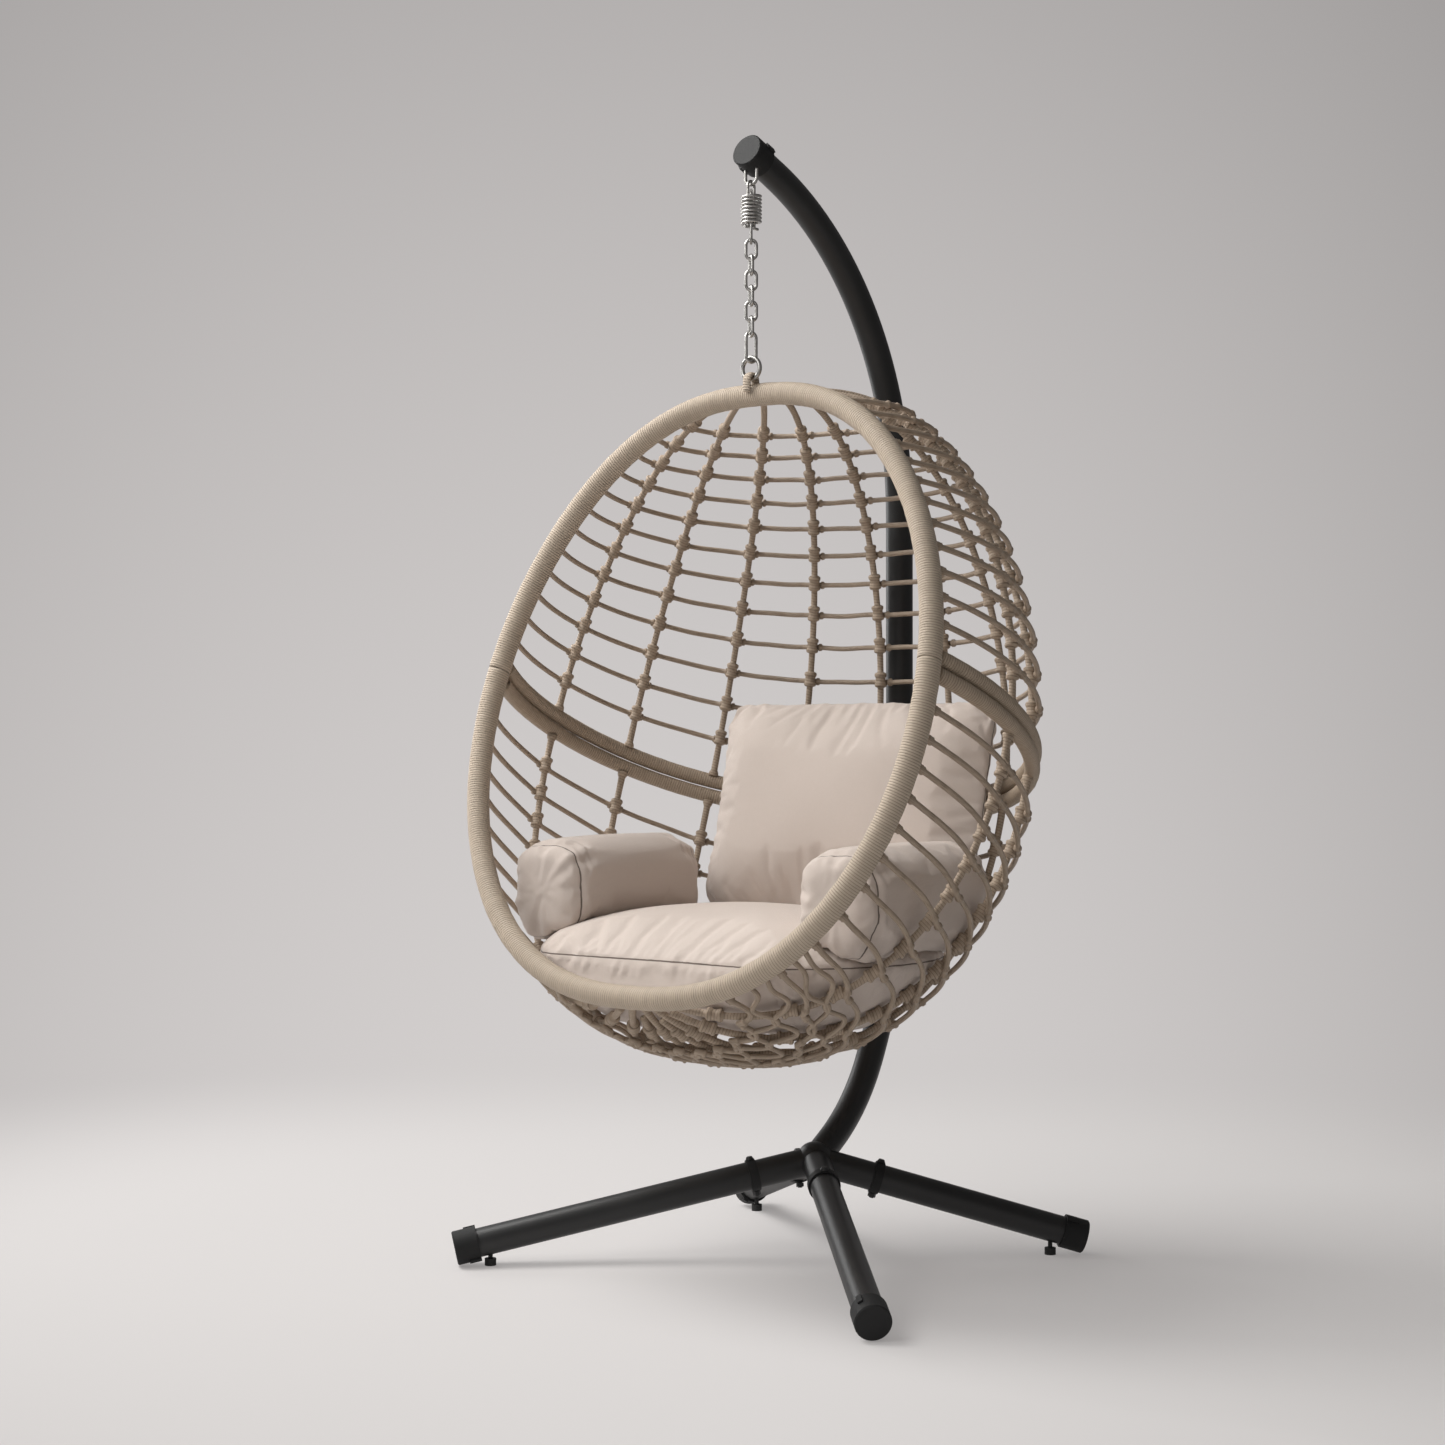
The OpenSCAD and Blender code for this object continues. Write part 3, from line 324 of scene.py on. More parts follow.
class Finish(Graph):
    """A material under construction"""

    def __init__(self, name):
        self.material = bpy.data.materials.new(name)
        self.material.use_nodes = True
        super().__init__(self.material.node_tree)
        self.shader = self.tree.nodes["Principled BSDF"]

    def set(self, **sockets):
        """Fills the shader's sockets, an underscore in a name standing for a space"""
        for key, value in sockets.items():
            socket = self.shader.inputs[key.replace("_", " ")]
            if isinstance(value, Wire):
                self.tree.links.new(value.socket, socket)
            else:
                socket.default_value = (*value, 1) if isinstance(value, tuple) else value
        return self

    def bump(self, height, strength, distance):
        made = self.node("ShaderNodeBump", None, Height=height, Strength=strength, Distance=distance)
        return self.set(Normal=made[0])


def wound_cane(name, pitch, tone, dark, depth):
    """Flat resin strand wound round a tube, one turn beside the next, with painted shade in the groove
    between turns
    """
    f = Finish(name)
    apart = f.node("ShaderNodeSeparateXYZ", None, f.attribute("lay")[1])
    turn = f.node("ShaderNodeMath", {"operation": "ARCTAN2"}, apart[2], apart[1])[0] / (2 * math.pi)
    wander = f.noise(14, 2) * 0.5
    phase = apart[0] / pitch + turn + wander
    strand = f.node("ShaderNodeMath", {"operation": "FRACT"}, phase)[0]
    across = (strand - 0.5) * 2
    crown = (1 - across * across) ** 0.5
    which = f.node("ShaderNodeMath", {"operation": "FLOOR"}, phase)[0]
    own = f.node("ShaderNodeTexWhiteNoise", {"noise_dimensions": "1D"}, W=which)[0]
    # Painted shade: the groove between turns takes the dark colour
    painted_groove_shade = f.clamp(crown, 0.15, 0.75)
    cloud = f.noise(9, 3)
    shade = f.mix(own * 0.35 + cloud * 0.5, tone, tuple(c * 0.80 for c in tone))
    f.set(Base_Color=f.mix(painted_groove_shade, dark, shade), Roughness=f.noise(60, 2) * 0.2 + 0.52,
          Specular_IOR_Level=0.35)
    f.bump(crown + f.noise(300, 2) * 0.12, depth, 0.0012)
    return f.material


def smooth_cane(name, tone, dark):
    """Round resin strand with fine grain along it"""
    f = Finish(name)
    apart = f.node("ShaderNodeSeparateXYZ", None, f.attribute("lay")[1])
    joined = f.node("ShaderNodeCombineXYZ", None, apart[0] * 30, apart[1] * 3.2, apart[2] * 3.2)[0]
    grain = f.noise(1.6, 3, 0.6, joined)
    cloud = f.noise(11, 3)
    shade = f.mix(cloud, tone, tuple(c * 0.78 for c in tone))
    f.set(Base_Color=f.mix(f.clamp(grain, 0.32, 0.5), dark, shade), Roughness=grain * 0.25 + 0.42,
          Specular_IOR_Level=0.4)
    f.bump(grain, 0.35, 0.0006)
    return f.material


def powder_coat():
    """Black powder coat: a little orange peel and a faint dust on top"""
    f = Finish("black powder coat")
    peel = f.noise(900, 2)
    cloud = f.noise(7, 3)
    f.set(Base_Color=f.mix(f.clamp(cloud, 0.35, 0.7), (0.012, 0.0122, 0.0125), (0.017, 0.0172, 0.0175)),
          Roughness=cloud * 0.12 + 0.38, Specular_IOR_Level=0.5)
    f.bump(peel, 0.18, 0.0004)
    return f.material


def moulded_plastic():
    """Caps and collars: matt moulded plastic with a fine spark texture"""
    f = Finish("black moulded plastic")
    spark = f.noise(1500, 2)
    cloud = f.noise(16, 2)
    f.set(Base_Color=f.mix(cloud, (0.014, 0.0142, 0.0145), (0.020, 0.0202, 0.0205)),
          Roughness=spark * 0.15 + 0.55, Specular_IOR_Level=0.25)
    f.bump(spark, 0.25, 0.0003)
    return f.material


def foot_rubber():
    """Dark rubber with a coarse grain"""
    f = Finish("foot rubber")
    spark = f.noise(600, 3)
    f.set(Base_Color=f.mix(spark, (0.016, 0.016, 0.016), (0.03, 0.03, 0.03)), Roughness=spark * 0.1 + 0.72)
    f.bump(spark, 0.3, 0.0004)
    return f.material


def bright_steel():
    """Zinc-bright steel wire with drawn lines and a few dull spots"""
    f = Finish("bright zinc steel")
    dull = f.noise(120, 3, 0.6)
    lines = f.noise(700, 2)
    f.set(Base_Color=f.mix(f.clamp(dull, 0.4, 0.7), (0.56, 0.55, 0.53), (0.36, 0.35, 0.33)), Metallic=1.0,
          Roughness=dull * 0.2 + 0.24)
    f.bump(lines, 0.12, 0.0003)
    return f.material


def cushion_cloth():
    """Soft outdoor cloth: fine plain weave, and a sewn line where the covers meet, drawn dark as painted
    shade in the seam's crease
    """
    f = Finish("beige cushion cloth")
    warp, weft = (f.node("ShaderNodeTexWave", {"wave_type": "BANDS", "bands_direction": way},
                         Vector=f.place(), Scale=430, Distortion=1.5, Detail=1)[1] for way in "XZ")
    cloud = f.noise(6, 4, 0.6)
    fuzz = f.noise(260, 3)
    seam = f.attribute("seam")[2].maths("ABSOLUTE")
    # Painted shade: near the seam the cloth takes a dark colour, standing in for the shade in its crease
    line = f.clamp(seam, 0.0006, 0.0016)
    shade = f.mix(cloud, (0.65, 0.565, 0.51), (0.60, 0.52, 0.465))
    shade = f.mix(fuzz * 0.16, shade, (0.46, 0.38, 0.33))
    f.set(Base_Color=f.mix(line, (0.16, 0.125, 0.105), shade), Roughness=fuzz * 0.12 + 0.78,
          Specular_IOR_Level=0.2, Sheen_Weight=0.25, Sheen_Roughness=0.45)
    f.bump(line * 3 + (warp + weft) * 0.25 + fuzz * 0.4, 0.5, 0.0008)
    return f.material


# The second colour of each wound strand is painted shade for the groove between its turns
CANE_LIGHT, CANE_GROOVE_SHADE = (0.56, 0.463, 0.363), (0.17, 0.128, 0.094)
WOUND_RIM = wound_cane("wound rim strand", 0.0044, CANE_LIGHT, CANE_GROOVE_SHADE, 1.0)
WOUND_HOOP = wound_cane("wound hoop strand", 0.0046, (0.46, 0.365, 0.275), (0.13, 0.096, 0.068), 0.9)
WOUND_RIB = wound_cane("wound rib strand", 0.0052, (0.43, 0.338, 0.255), (0.14, 0.10, 0.07), 0.5)
STRAND = smooth_cane("round weaving strand", (0.42, 0.33, 0.25), (0.20, 0.148, 0.105))
COAT, PLASTIC, RUBBER, STEEL, CLOTH = (powder_coat(), moulded_plastic(), foot_rubber(), bright_steel(),
                                       cushion_cloth())
FINISHES = {"powder_coat": COAT, "cap_plastic": PLASTIC, "foot_rubber": RUBBER, "bright_steel": STEEL,
            "wrapped_cane": STRAND, "cushion_fabric": CLOTH}
for part in frame["record"]["subparts"]:
    mesh = nodes[part["node"]].data
    mesh.materials.clear()
    mesh.materials.append(FINISHES[part["material_slot"]])


# ---- Rim and hoops, wound all along ----
def uneven(radius, along, swell, seed):
    """A wound tube is never quite even: its radius wanders a little"""
    def wander(s):
        return noise.noise(Vector((s / 23, seed, 0))) + 0.5 * noise.noise(Vector((s / 7, seed, 5)))
    return [radius + swell * wander(s) for s in along]


def laid_cane(points, radii, sides):
    """A cane from points of the basket and radii in millimetres"""
    return cane([in_place(p) for p in points], [r * MM for r in radii], sides)


def rim_half(name, first, last, seed):
    """The mouth's rim from one angle to another"""
    path, along = even([rim_point(first + (last - first) * i / 240) for i in range(241)], 5)
    mesh = laid_cane(path, uneven(RIM_R - 0.5, along, 0.55, seed), 24)
    piece = gather(name.replace("rim", "wound_rim"), [mesh], "basket", WOUND_RIM)
    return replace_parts(piece, name)


SPLIT_A = math.acos(1 - 2 * SPLIT_V / MOUTH_LEN)
GAP_A = 1 / MOUTH_LEN
rim_half("rim_upper", GAP_A - SPLIT_A, SPLIT_A - GAP_A, 1)
rim_half("rim_lower", SPLIT_A + GAP_A, 2 * math.pi - SPLIT_A - GAP_A, 2)


def hoop(name, v0, seed):
    """A hoop round the basket's back, from rim to rim"""
    normal = Vector((0, fan(v0), 1)).normalized()
    path, along = even(beside(fan_path(v0, 120, -2), normal, HOOP_INSET), 5)
    mesh = laid_cane(path, uneven(HOOP_R - 0.3, along, 0.4, seed), 20)
    piece = gather(name.replace("hoop", "wound_hoop"), [mesh], "basket", WOUND_HOOP)
    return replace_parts(piece, name)


hoop("hoop_upper", SPLIT_V - HOOP_OFFSET, 3)
hoop("hoop_lower", SPLIT_V + HOOP_OFFSET, 4)

EYE_R, EYE_WIRE_R, EYE_WIDENING = 12 * MM, 4 * MM, 2.1


def rim_eye():
    """The eye on top of the rim: a loop that is wrapped into a flat tab"""
    low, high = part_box("rim_eye")
    middle = Vector((0, (low.y + high.y) / 2, high.z - EYE_R - EYE_WIRE_R))
    leg = [Vector((0, EYE_R, k * MM)) for k in (-19, -14, -9, -4)]
    turns = [math.radians(a) for a in range(0, 181, 10)]
    bend = [EYE_R * Vector((0, math.cos(a), math.sin(a))) for a in turns]
    other_leg = [Vector((0, -p.y, p.z)) for p in reversed(leg)]
    tab = [middle + p for p in leg + bend + other_leg]
    wrapped = cane(tab, [EYE_WIRE_R * 0.98] * len(tab), 16)
    for v in wrapped.vertices:
        v.co.x *= EYE_WIDENING
    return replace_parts(gather("wrapped_rim_eye", [wrapped], "basket", WOUND_RIM), "rim_eye")


rim_eye()

# ---- Ribs with a knot where each rung crosses ----
# How far from a knot's middle the cane swells, and by how much
KNOT = [(way * at, swell) for way in (-1, 1)
        for at, swell in ((14.5, -0.6), (13.4, 2.4), (12, 4.4), (9, 5.0), (6.5, 4.4), (4.5, 3.0))]
KNOT.sort()


def off_level(p, v0):
    """How far a point lies below the plane of a rung"""
    return -p.z - (v0 + fan(v0) * p.y)


def crossings(path, along, levels):
    """How far along a rib each rung's plane cuts it"""
    found = []
    for v0 in levels:
        off = [off_level(p, v0) for p in path]
        for i in range(len(path) - 1):
            if off[i] * off[i + 1] <= 0 and off[i] != off[i + 1]:
                share = off[i] / (off[i] - off[i + 1])
                found.append(along[i] + share * (along[i + 1] - along[i]))
    return found


def swelling(fine, along, stops, step, radius, wander):
    """A cane's points and radii. Stops gives its swell at some lengths, and points in between lie at most a
    step apart. Wander gives the unevenness at a length."""
    marks = sorted(stops)
    for a, b in zip(marks, marks[1:]):
        count = int((b - a) / step)
        for k in range(1, count + 1):
            share = k / (count + 1)
            stops[a + (b - a) * share] = stops[a] + (stops[b] - stops[a]) * share
    points = []
    for s in sorted(stops):
        i = min(int(s / along[-1] * (len(fine) - 1)), len(fine) - 2)
        share = (s - along[i]) / (along[i + 1] - along[i])
        points.append(fine[i].lerp(fine[i + 1], max(0, min(1, share))))
    return points, [radius + stops[s] + wander(s) for s in sorted(stops)]


def knotted(path, levels, seed):
    """A rib's points and radii, thicker at each knot and flared where it meets the hoop"""
    fine, along = even(path, 2)
    total = along[-1]
    stops = {0: 0, total: 3.5, total - 7: 2.6, total - 12: 0}
    for at in crossings(fine, along, levels):
        for way, swell in KNOT:
            if 1 < at + way < total - 13:
                near = min(stops, key=lambda s: abs(s - at - way))
                if abs(near - at - way) > 0.8:
                    stops[at + way] = swell
                else:
                    stops[near] = max(stops[near], swell)
    return swelling(fine, along, stops, 9, RIB_R, lambda s: 0.35 * noise.noise(Vector((s / 17, seed, 9))))


def rib(turn, index, upper):
    """Half of one rib, from near the rim to its hoop. Each second one stops farther out, because they come
    close together under the rim."""
    sign = 1 if upper else -1
    base = 0 if upper else math.pi
    hoop_v = SPLIT_V - sign * HOOP_OFFSET
    room = 0
    if turn:
        neighbour = math.radians(RIB_STEP * (2 if index % 2 == 0 else 1))
        room = RIB_INSET + (2 * RIB_R + RIB_CLEARANCE) / math.sin(neighbour)

    def at(m):
        return rib_at(turn, base + sign * m)

    def before_start(m):
        p = at(m)
        return p.y <= RIM_R + RIB_R or math.hypot(p.x, p.y) <= room
    first = halve(before_start, 0, 1.2)
    last = halve(lambda m: sign * off_level(at(m), hoop_v - sign * 10) < 0, 0.35, 2.1)
    skin = [at(first + (last - first) * i / 70) for i in range(71)]
    path = beside(skin, Vector((math.cos(turn), -math.sin(turn), 0)), -RIB_INSET * sign)
    points, radii = knotted(path, UPPER_RUNGS if upper else LOWER_RUNGS, index + (0 if upper else 20))
    return laid_cane(points, radii, 12)


for half in ("upper", "lower"):
    meshes = [rib(turn, i - 4, half == "upper") for i, turn in enumerate(RIB_TURNS)]
    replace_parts(gather("wound_ribs_" + half, meshes, "basket", WOUND_RIB), "ribs_" + half)


# ---- Rungs: round strand, lashed at each rib and at the rim ----
RIM_LASHING = {0: 3, 7: 3.2, 9: 2.4, 12: 3, 15: 0.3}
RIB_LASHING = ((-15, 0), (-13.5, 2.4), (-10, 2.8), (-8, 0.8), (8, 0.8), (10, 2.8), (13.5, 2.4), (15, 0))


def between_ribs(p):
    """The share of the way from one rib to the next at which a point lies"""
    return math.degrees(math.atan2(p.x, p.y)) / RIB_STEP % 1


def scallop(v0, seed):
    """Below the hoops the rungs arch up between the ribs, more so towards the bottom, and none lies even"""
    arch = max(0, v0 - SPLIT_V) * 0.024

    def sway(p):
        bow = 1 - abs(2 * between_ribs(p) - 1) ** 1.7
        return 1.6 * noise.noise(Vector((p.x / 60, seed, 4))) - arch * bow
    return sway


def rung(v0, seed):
    """A cross cane with its lashings"""
    fine, along = even(fan_path(v0, 200, 3, scallop(v0, seed)), 2)
    total = along[-1]
    angles = [math.atan2(p.x, p.y) for p in fine]
    cuts = []
    for turn in RIB_TURNS:
        for i in range(len(fine) - 1):
            if (angles[i] - turn) * (angles[i + 1] - turn) <= 0 and fine[i].y > RIM_R + RIB_R:
                cuts.append(along[i])
    stops = {**RIM_LASHING, **{total - at: swell for at, swell in RIM_LASHING.items()}}
    for at in cuts:
        for way, swell in RIB_LASHING:
            if 16 < at + way < total - 16 and min(abs(s - at - way) for s in stops) > 0.8:
                stops[at + way] = swell

    def wander(s):
        return 0.25 * noise.noise(Vector((s / 19, seed, 3)))
    return laid_cane(*swelling(fine, along, stops, 12, RUNG_R, wander), 10)


def loops(v0, reach, phase, seed):
    """A strand that winds up and down between two rungs in the close weave of the bottom"""
    def sway(p):
        wave = math.cos(2 * math.pi * (between_ribs(p) + phase))
        return reach * wave + 2.5 * noise.noise(Vector((p.x / 40, seed, 6)))
    fine, along = even(fan_path(v0, 260, 3, sway), 6)
    return laid_cane(fine, [RUNG_R - 0.2 + 0.5 * noise.noise(Vector((s / 15, seed, 1))) for s in along], 8)


LOOP_REACH = 10
for half, levels in (("upper", UPPER_RUNGS), ("lower", LOWER_RUNGS)):
    meshes = [rung(v0, i + len(half)) for i, v0 in enumerate(levels)]
    if half == "lower":
        for i, v0 in enumerate(LOWER_RUNGS[8:-1]):
            meshes.append(loops(v0 + 14, LOOP_REACH, 0, 30 + i))
            meshes.append(loops(v0 + 30, LOOP_REACH, 0.5, 40 + i))
    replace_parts(gather("strand_rungs_" + half, meshes, "basket", STRAND), "rungs_" + half)

# ---- The spring: one wire coil that rides on the hanger (the real one closes up as the seat bounces) ----
WIRE_R, BOUNCE = 2.5 * MM, 8 * MM
TURNS, POINTS_A_TURN, FIRST_A = 8, 28, math.radians(105)


def wire_spring():
    """One wire wound from end to end"""
    low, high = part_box("spring")
    centre = (low + high) / 2
    coil_r = (high.x - low.x) / 2 - WIRE_R
    last = TURNS * POINTS_A_TURN
    coil = []
    for i in range(last + 1):
        a = FIRST_A + 2 * math.pi * i / POINTS_A_TURN
        rise = low.z + WIRE_R + (high.z - low.z - 2 * WIRE_R) * i / last
        coil.append(Vector((centre.x + coil_r * math.cos(a), centre.y + coil_r * math.sin(a), rise)))
    spring = gather("wire_spring", [cane(coil, [WIRE_R] * len(coil), 12)], "hanger", STEEL)
    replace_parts(spring, "spring")
    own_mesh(spring)


wire_spring()


# ---- Cushions ----
VOXEL, CLOTH_FRAMES, AIR_PRESSURE, CLOTH_SHRINK = 0.0065, 20, 4.0, -0.03
# A seam's depth, how wide it draws in, how wide it keeps the gathers flat, and the cloth's soft waves
SEAM_DIP, DIP_REACH, FLAT_REACH, SOFT_WAVE = 0.0028, 0.0055, 0.007, 0.0022


def signed_power(a, p):
    """A power that keeps its sign, which squares off a round outline"""
    return math.copysign(abs(a) ** p, a)


def puff(share, edge=0.62):
    """How full a cushion is at a share of the way from its middle to its edge"""
    return max(0.0, 1 - share * share) ** edge


def bake(piece):
    """Puts what the modifiers make into the mesh itself"""
    graph = bpy.context.evaluated_depsgraph_get()
    fresh = bpy.data.meshes.new_from_object(piece.evaluated_get(graph))
    piece.modifiers.clear()
    piece.data = fresh


def shell(name, shape):
    """A ball that is set to the cut shape and remeshed evenly"""
    ball = bmesh.new()
    bmesh.ops.create_uvsphere(ball, u_segments=96, v_segments=56, radius=1)
    for v in ball.verts:
        v.co = shape(math.atan2(v.co.y, v.co.x), min(1, math.hypot(v.co.x, v.co.y)), v.co.z)
    bmesh.ops.recalc_face_normals(ball, faces=ball.faces)
    mesh = bpy.data.meshes.new(name)
    ball.to_mesh(mesh)
    ball.free()
    piece = bpy.data.objects.new(name, mesh)
    bpy.context.scene.collection.objects.link(piece)
    bpy.context.view_layer.objects.active = piece
    remesh = piece.modifiers.new("even mesh", "REMESH")
    remesh.mode, remesh.voxel_size = "VOXEL", VOXEL
    bake(piece)
    return piece


def blow_up(piece, seam_at, cap, pinned):
    """A short cloth run with air inside. The seams are held, and no point moves past its cap."""
    before = [v.co.copy() for v in piece.data.vertices]
    group = piece.vertex_groups.new(name="sewn")
    group.add([v.index for v in piece.data.vertices if abs(seam_at(v.co)[0]) < pinned], 1, "REPLACE")
    cloth = piece.modifiers.new("cloth", "CLOTH")
    cloth.settings.vertex_group_mass = "sewn"
    cloth.settings.pin_stiffness = 1
    cloth.settings.quality = 6
    cloth.settings.mass = 0.3
    cloth.settings.use_pressure = True
    cloth.settings.uniform_pressure_force = AIR_PRESSURE
    cloth.settings.shrink_min = CLOTH_SHRINK
    cloth.settings.tension_stiffness = 15
    cloth.settings.compression_stiffness = 15
    cloth.settings.bending_stiffness = 0.4
    cloth.settings.effector_weights.gravity = 0
    cloth.point_cache.frame_start, cloth.point_cache.frame_end = 1, CLOTH_FRAMES
    for number in range(1, CLOTH_FRAMES + 1):
        bpy.context.scene.frame_set(number)
    bake(piece)
    for v, was in zip(piece.data.vertices, before):
        moved = v.co - was
        limit = cap(was)
        if moved.length > limit:
            v.co = was + moved * (limit / moved.length)
    bpy.context.scene.frame_set(1)


def sew(mesh, seam_at, depth, reach):
    """Presses in the seams, gathers the cloth beside them and keeps the distance to them for the finish"""
    mesh.update()
    normals = [v.normal.copy() for v in mesh.vertices]
    for v, normal in zip(mesh.vertices, normals):
        away, run = seam_at(v.co)
        fade = math.exp(-abs(away) / reach) * (1 - 0.7 * math.exp(-(away / FLAT_REACH) ** 2))
        crease = noise.noise(Vector((run / 0.013, away / 0.09, 2.7)))
        crease += 0.6 * noise.noise(Vector((run / 0.031, away / 0.12, 8)))
        soft = noise.noise(v.co * 7) * SOFT_WAVE
        dip = SEAM_DIP * math.exp(-(away / DIP_REACH) ** 2)
        v.co += normal * (depth * crease * fade + soft - dip)
    store = mesh.attributes.new("seam", "FLOAT", "POINT")
    for i, v in enumerate(mesh.vertices):
        store.data[i].value = seam_at(v.co)[0]


def stuffed(name, shape, seam_at, place, cap, pinned, node, depth, reach):
    """A cushion in place of its solid.

    shape takes an angle, a share from middle to edge and a side, and gives a local point. seam_at gives how
    far a local point is from the nearest seam and how far along the seam it lies. depth and reach are those
    of the gathers along the seam."""
    piece = shell(name, shape)
    blow_up(piece, seam_at, cap, pinned)
    mesh = piece.data
    sew(mesh, seam_at, depth, reach)
    mesh.transform(place)
    for face in mesh.polygons:
        face.use_smooth = True
    mesh.materials.append(CLOTH)
    finer = piece.modifiers.new("finer", "SUBSURF")
    finer.levels = finer.render_levels = 1
    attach(piece, "basket")
    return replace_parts(piece, node)


# Seat cushion: two covers sewn together round the edge, cut to the basket that holds it
RIM_TOP_Y = RIM_TOP[0] - CENTRE_Y
SEAT_MID_Y, SEAT_Z, SEAT_CROWN, SEAT_BELLY = RIM_TOP_Y - 20, 552.2, 80, 118
SEAT_MARGIN, BELLY_LIFT, CROWN_EDGE = 19.5, 12.5, 0.65
SEAT_SLACK, CROWN_SLACK, BELLY_SHARE = 3, 8, 0.975


def to_basket(x, y, z):
    """How far down the rim's plane and how far back from it a point lies"""
    dy, dz = y - RIM_TOP_Y, z - RIM_TOP[1]
    return (-(dy * math.sin(RIM_LEAN) + dz * math.cos(RIM_LEAN)),
            dy * math.cos(RIM_LEAN) - dz * math.sin(RIM_LEAN))


def seat_reach(a, drop):
    """How far the seat cushion goes out at an angle, at a depth below its seam"""
    def inside(m):
        x, y = m * math.cos(a), SEAT_MID_Y + m * math.sin(a)
        v, back = to_basket(x, y, SEAT_Z - drop - BELLY_LIFT)
        return back > RIM_R + 0.7 and skin_x(v, back) > abs(x)
    return halve(inside, 0, MOUTH_W, 20) - SEAT_MARGIN


ROWS, SPOKES = 9, 120
DROPS = [SEAT_BELLY * BELLY_SHARE * k / ROWS for k in range(ROWS + 1)]
REACH = [[seat_reach(math.radians(360 / SPOKES * k), drop) for k in range(SPOKES)] for drop in DROPS]


def reach_at(a, drop):
    """The same at any angle and depth, from the nearest of those worked out"""
    row = min(drop / DROPS[-1] * ROWS, ROWS - 0.001)
    k = math.degrees(a) / (360 / SPOKES) % SPOKES
    r, i = int(row), int(k)

    def between(line):
        return line[i % SPOKES] + (line[(i + 1) % SPOKES] - line[i % SPOKES]) * (k - i)
    near, far = between(REACH[r]), between(REACH[r + 1])
    return near + (far - near) * (row - r)


def seat_shape(a, share, side):
    """Crowned above its seam, and below it as deep and wide as the basket lets it be"""
    if side >= 0:
        edge, rise = reach_at(a, 0) - SEAT_SLACK, (SEAT_CROWN - CROWN_SLACK) * puff(share, CROWN_EDGE)
        return Vector((edge * share * math.cos(a), edge * share * math.sin(a), rise)) * MM
    drop = SEAT_BELLY * min(-side, BELLY_SHARE)
    edge = (reach_at(a, drop) - SEAT_SLACK) * min(1, share / math.sqrt(1 - BELLY_SHARE ** 2))
    return Vector((edge * math.cos(a), edge * math.sin(a), -drop)) * MM


def seat_seam(p):
    return p.z - 0.001, math.atan2(p.y, p.x) * 0.36


stuffed("seat_cushion_cover", seat_shape, seat_seam,
        place=Matrix.Translation(Vector((0, SEAT_MID_Y + CENTRE_Y, SEAT_Z)) * MM),
        cap=lambda p: 0.010 if p.z > 0.004 else 0.003, pinned=0.006, node="seat_cushion",
        depth=0.0070, reach=0.013)


# Back cushion: a square pillow that leans on the basket's back
BACK_W, BACK_H, BACK_T, BACK_LEAN = 610, 416, 150, math.radians(14)
BACK_AT = (35, RIM_TOP_Y + 223.2 + CENTRE_Y, SEAT_Z + 240)
BACK_SLACK, BACK_T_SLACK, DRAWN_IN, CORNERS = 4, 12, 0.045, 6


def back_shape(a, share, side):
    """A pillow with full corners and drawn-in sides"""
    p = 2 / (2 + CORNERS * share * share)
    drawn = share * (1 - DRAWN_IN * math.cos(2 * a) ** 2)
    return Vector(((BACK_W / 2 - BACK_SLACK) * drawn * signed_power(math.cos(a), p),
                   (BACK_H / 2 - BACK_SLACK) * drawn * signed_power(math.sin(a), p),
                   math.copysign((BACK_T / 2 - BACK_T_SLACK) * puff(share), side))) * MM


def back_seam(p):
    return p.z, math.atan2(p.y / BACK_H, p.x / BACK_W) * 0.29


stuffed("back_cushion_cover", back_shape, back_seam,
        place=Matrix.Translation(Vector(BACK_AT) * MM) @ Matrix.Rotation(math.pi / 2 - BACK_LEAN, 4, "X"),
        cap=lambda p: 0.014, pinned=0.006, node="back_cushion", depth=0.0065, reach=0.019)


# Arm bolsters: a long roll with a panel sewn in at each end, pressed in by the seat cushion and the basket
BOLSTER_W, BOLSTER_LEN, BOLSTER_H = 168, 356, 188
BOLSTER_X, BOLSTER_Y, BOLSTER_Z = MOUTH_W / 2 - 150.5, RIM_TOP_Y - 28.5, SEAT_Z + 97.5
BOLSTER_SLACK, END_SEAM_Y, SQUARED, BLUNT = 3, 0.158, 0.625, 8
OFF_BASKET, OFF_SEAT = 5, 4


def bolster_shape(side):
    def shape(a, share, t):
        fill = (1 - abs(t) ** BLUNT) ** (1 / BLUNT)
        x = BOLSTER_X + side * (BOLSTER_W / 2 - BOLSTER_SLACK) * fill * signed_power(math.cos(a), SQUARED)
        y = BOLSTER_Y + (BOLSTER_LEN / 2 - BOLSTER_SLACK) * t
        z = BOLSTER_Z + (BOLSTER_H / 2 - BOLSTER_SLACK) * fill * signed_power(math.sin(a), SQUARED)
        v, back = to_basket(x, y, z)
        x = min(x, skin_x(v, back) - SEAT_MARGIN - OFF_BASKET)
        out = math.hypot(x, y - SEAT_MID_Y) / reach_at(math.atan2(y - SEAT_MID_Y, x), 0)
        z = max(z, SEAT_Z + SEAT_CROWN * puff(min(1, out), CROWN_EDGE) + OFF_SEAT)
        return Vector((side * (x - BOLSTER_X), y - BOLSTER_Y, z - BOLSTER_Z)) * MM
    return shape


def bolster_seam(p):
    return abs(p.y) - END_SEAM_Y, math.atan2(p.z, p.x) * 0.08


for side, label in ((-1, "left"), (1, "right")):
    stuffed("arm_bolster_cover_" + label, bolster_shape(side), bolster_seam,
            place=Matrix.Translation(Vector((side * BOLSTER_X, BOLSTER_Y + CENTRE_Y, BOLSTER_Z)) * MM),
            cap=lambda p: 0.004, pinned=0.005, node="arm_bolster_" + label, depth=0.0072,
            reach=0.030)

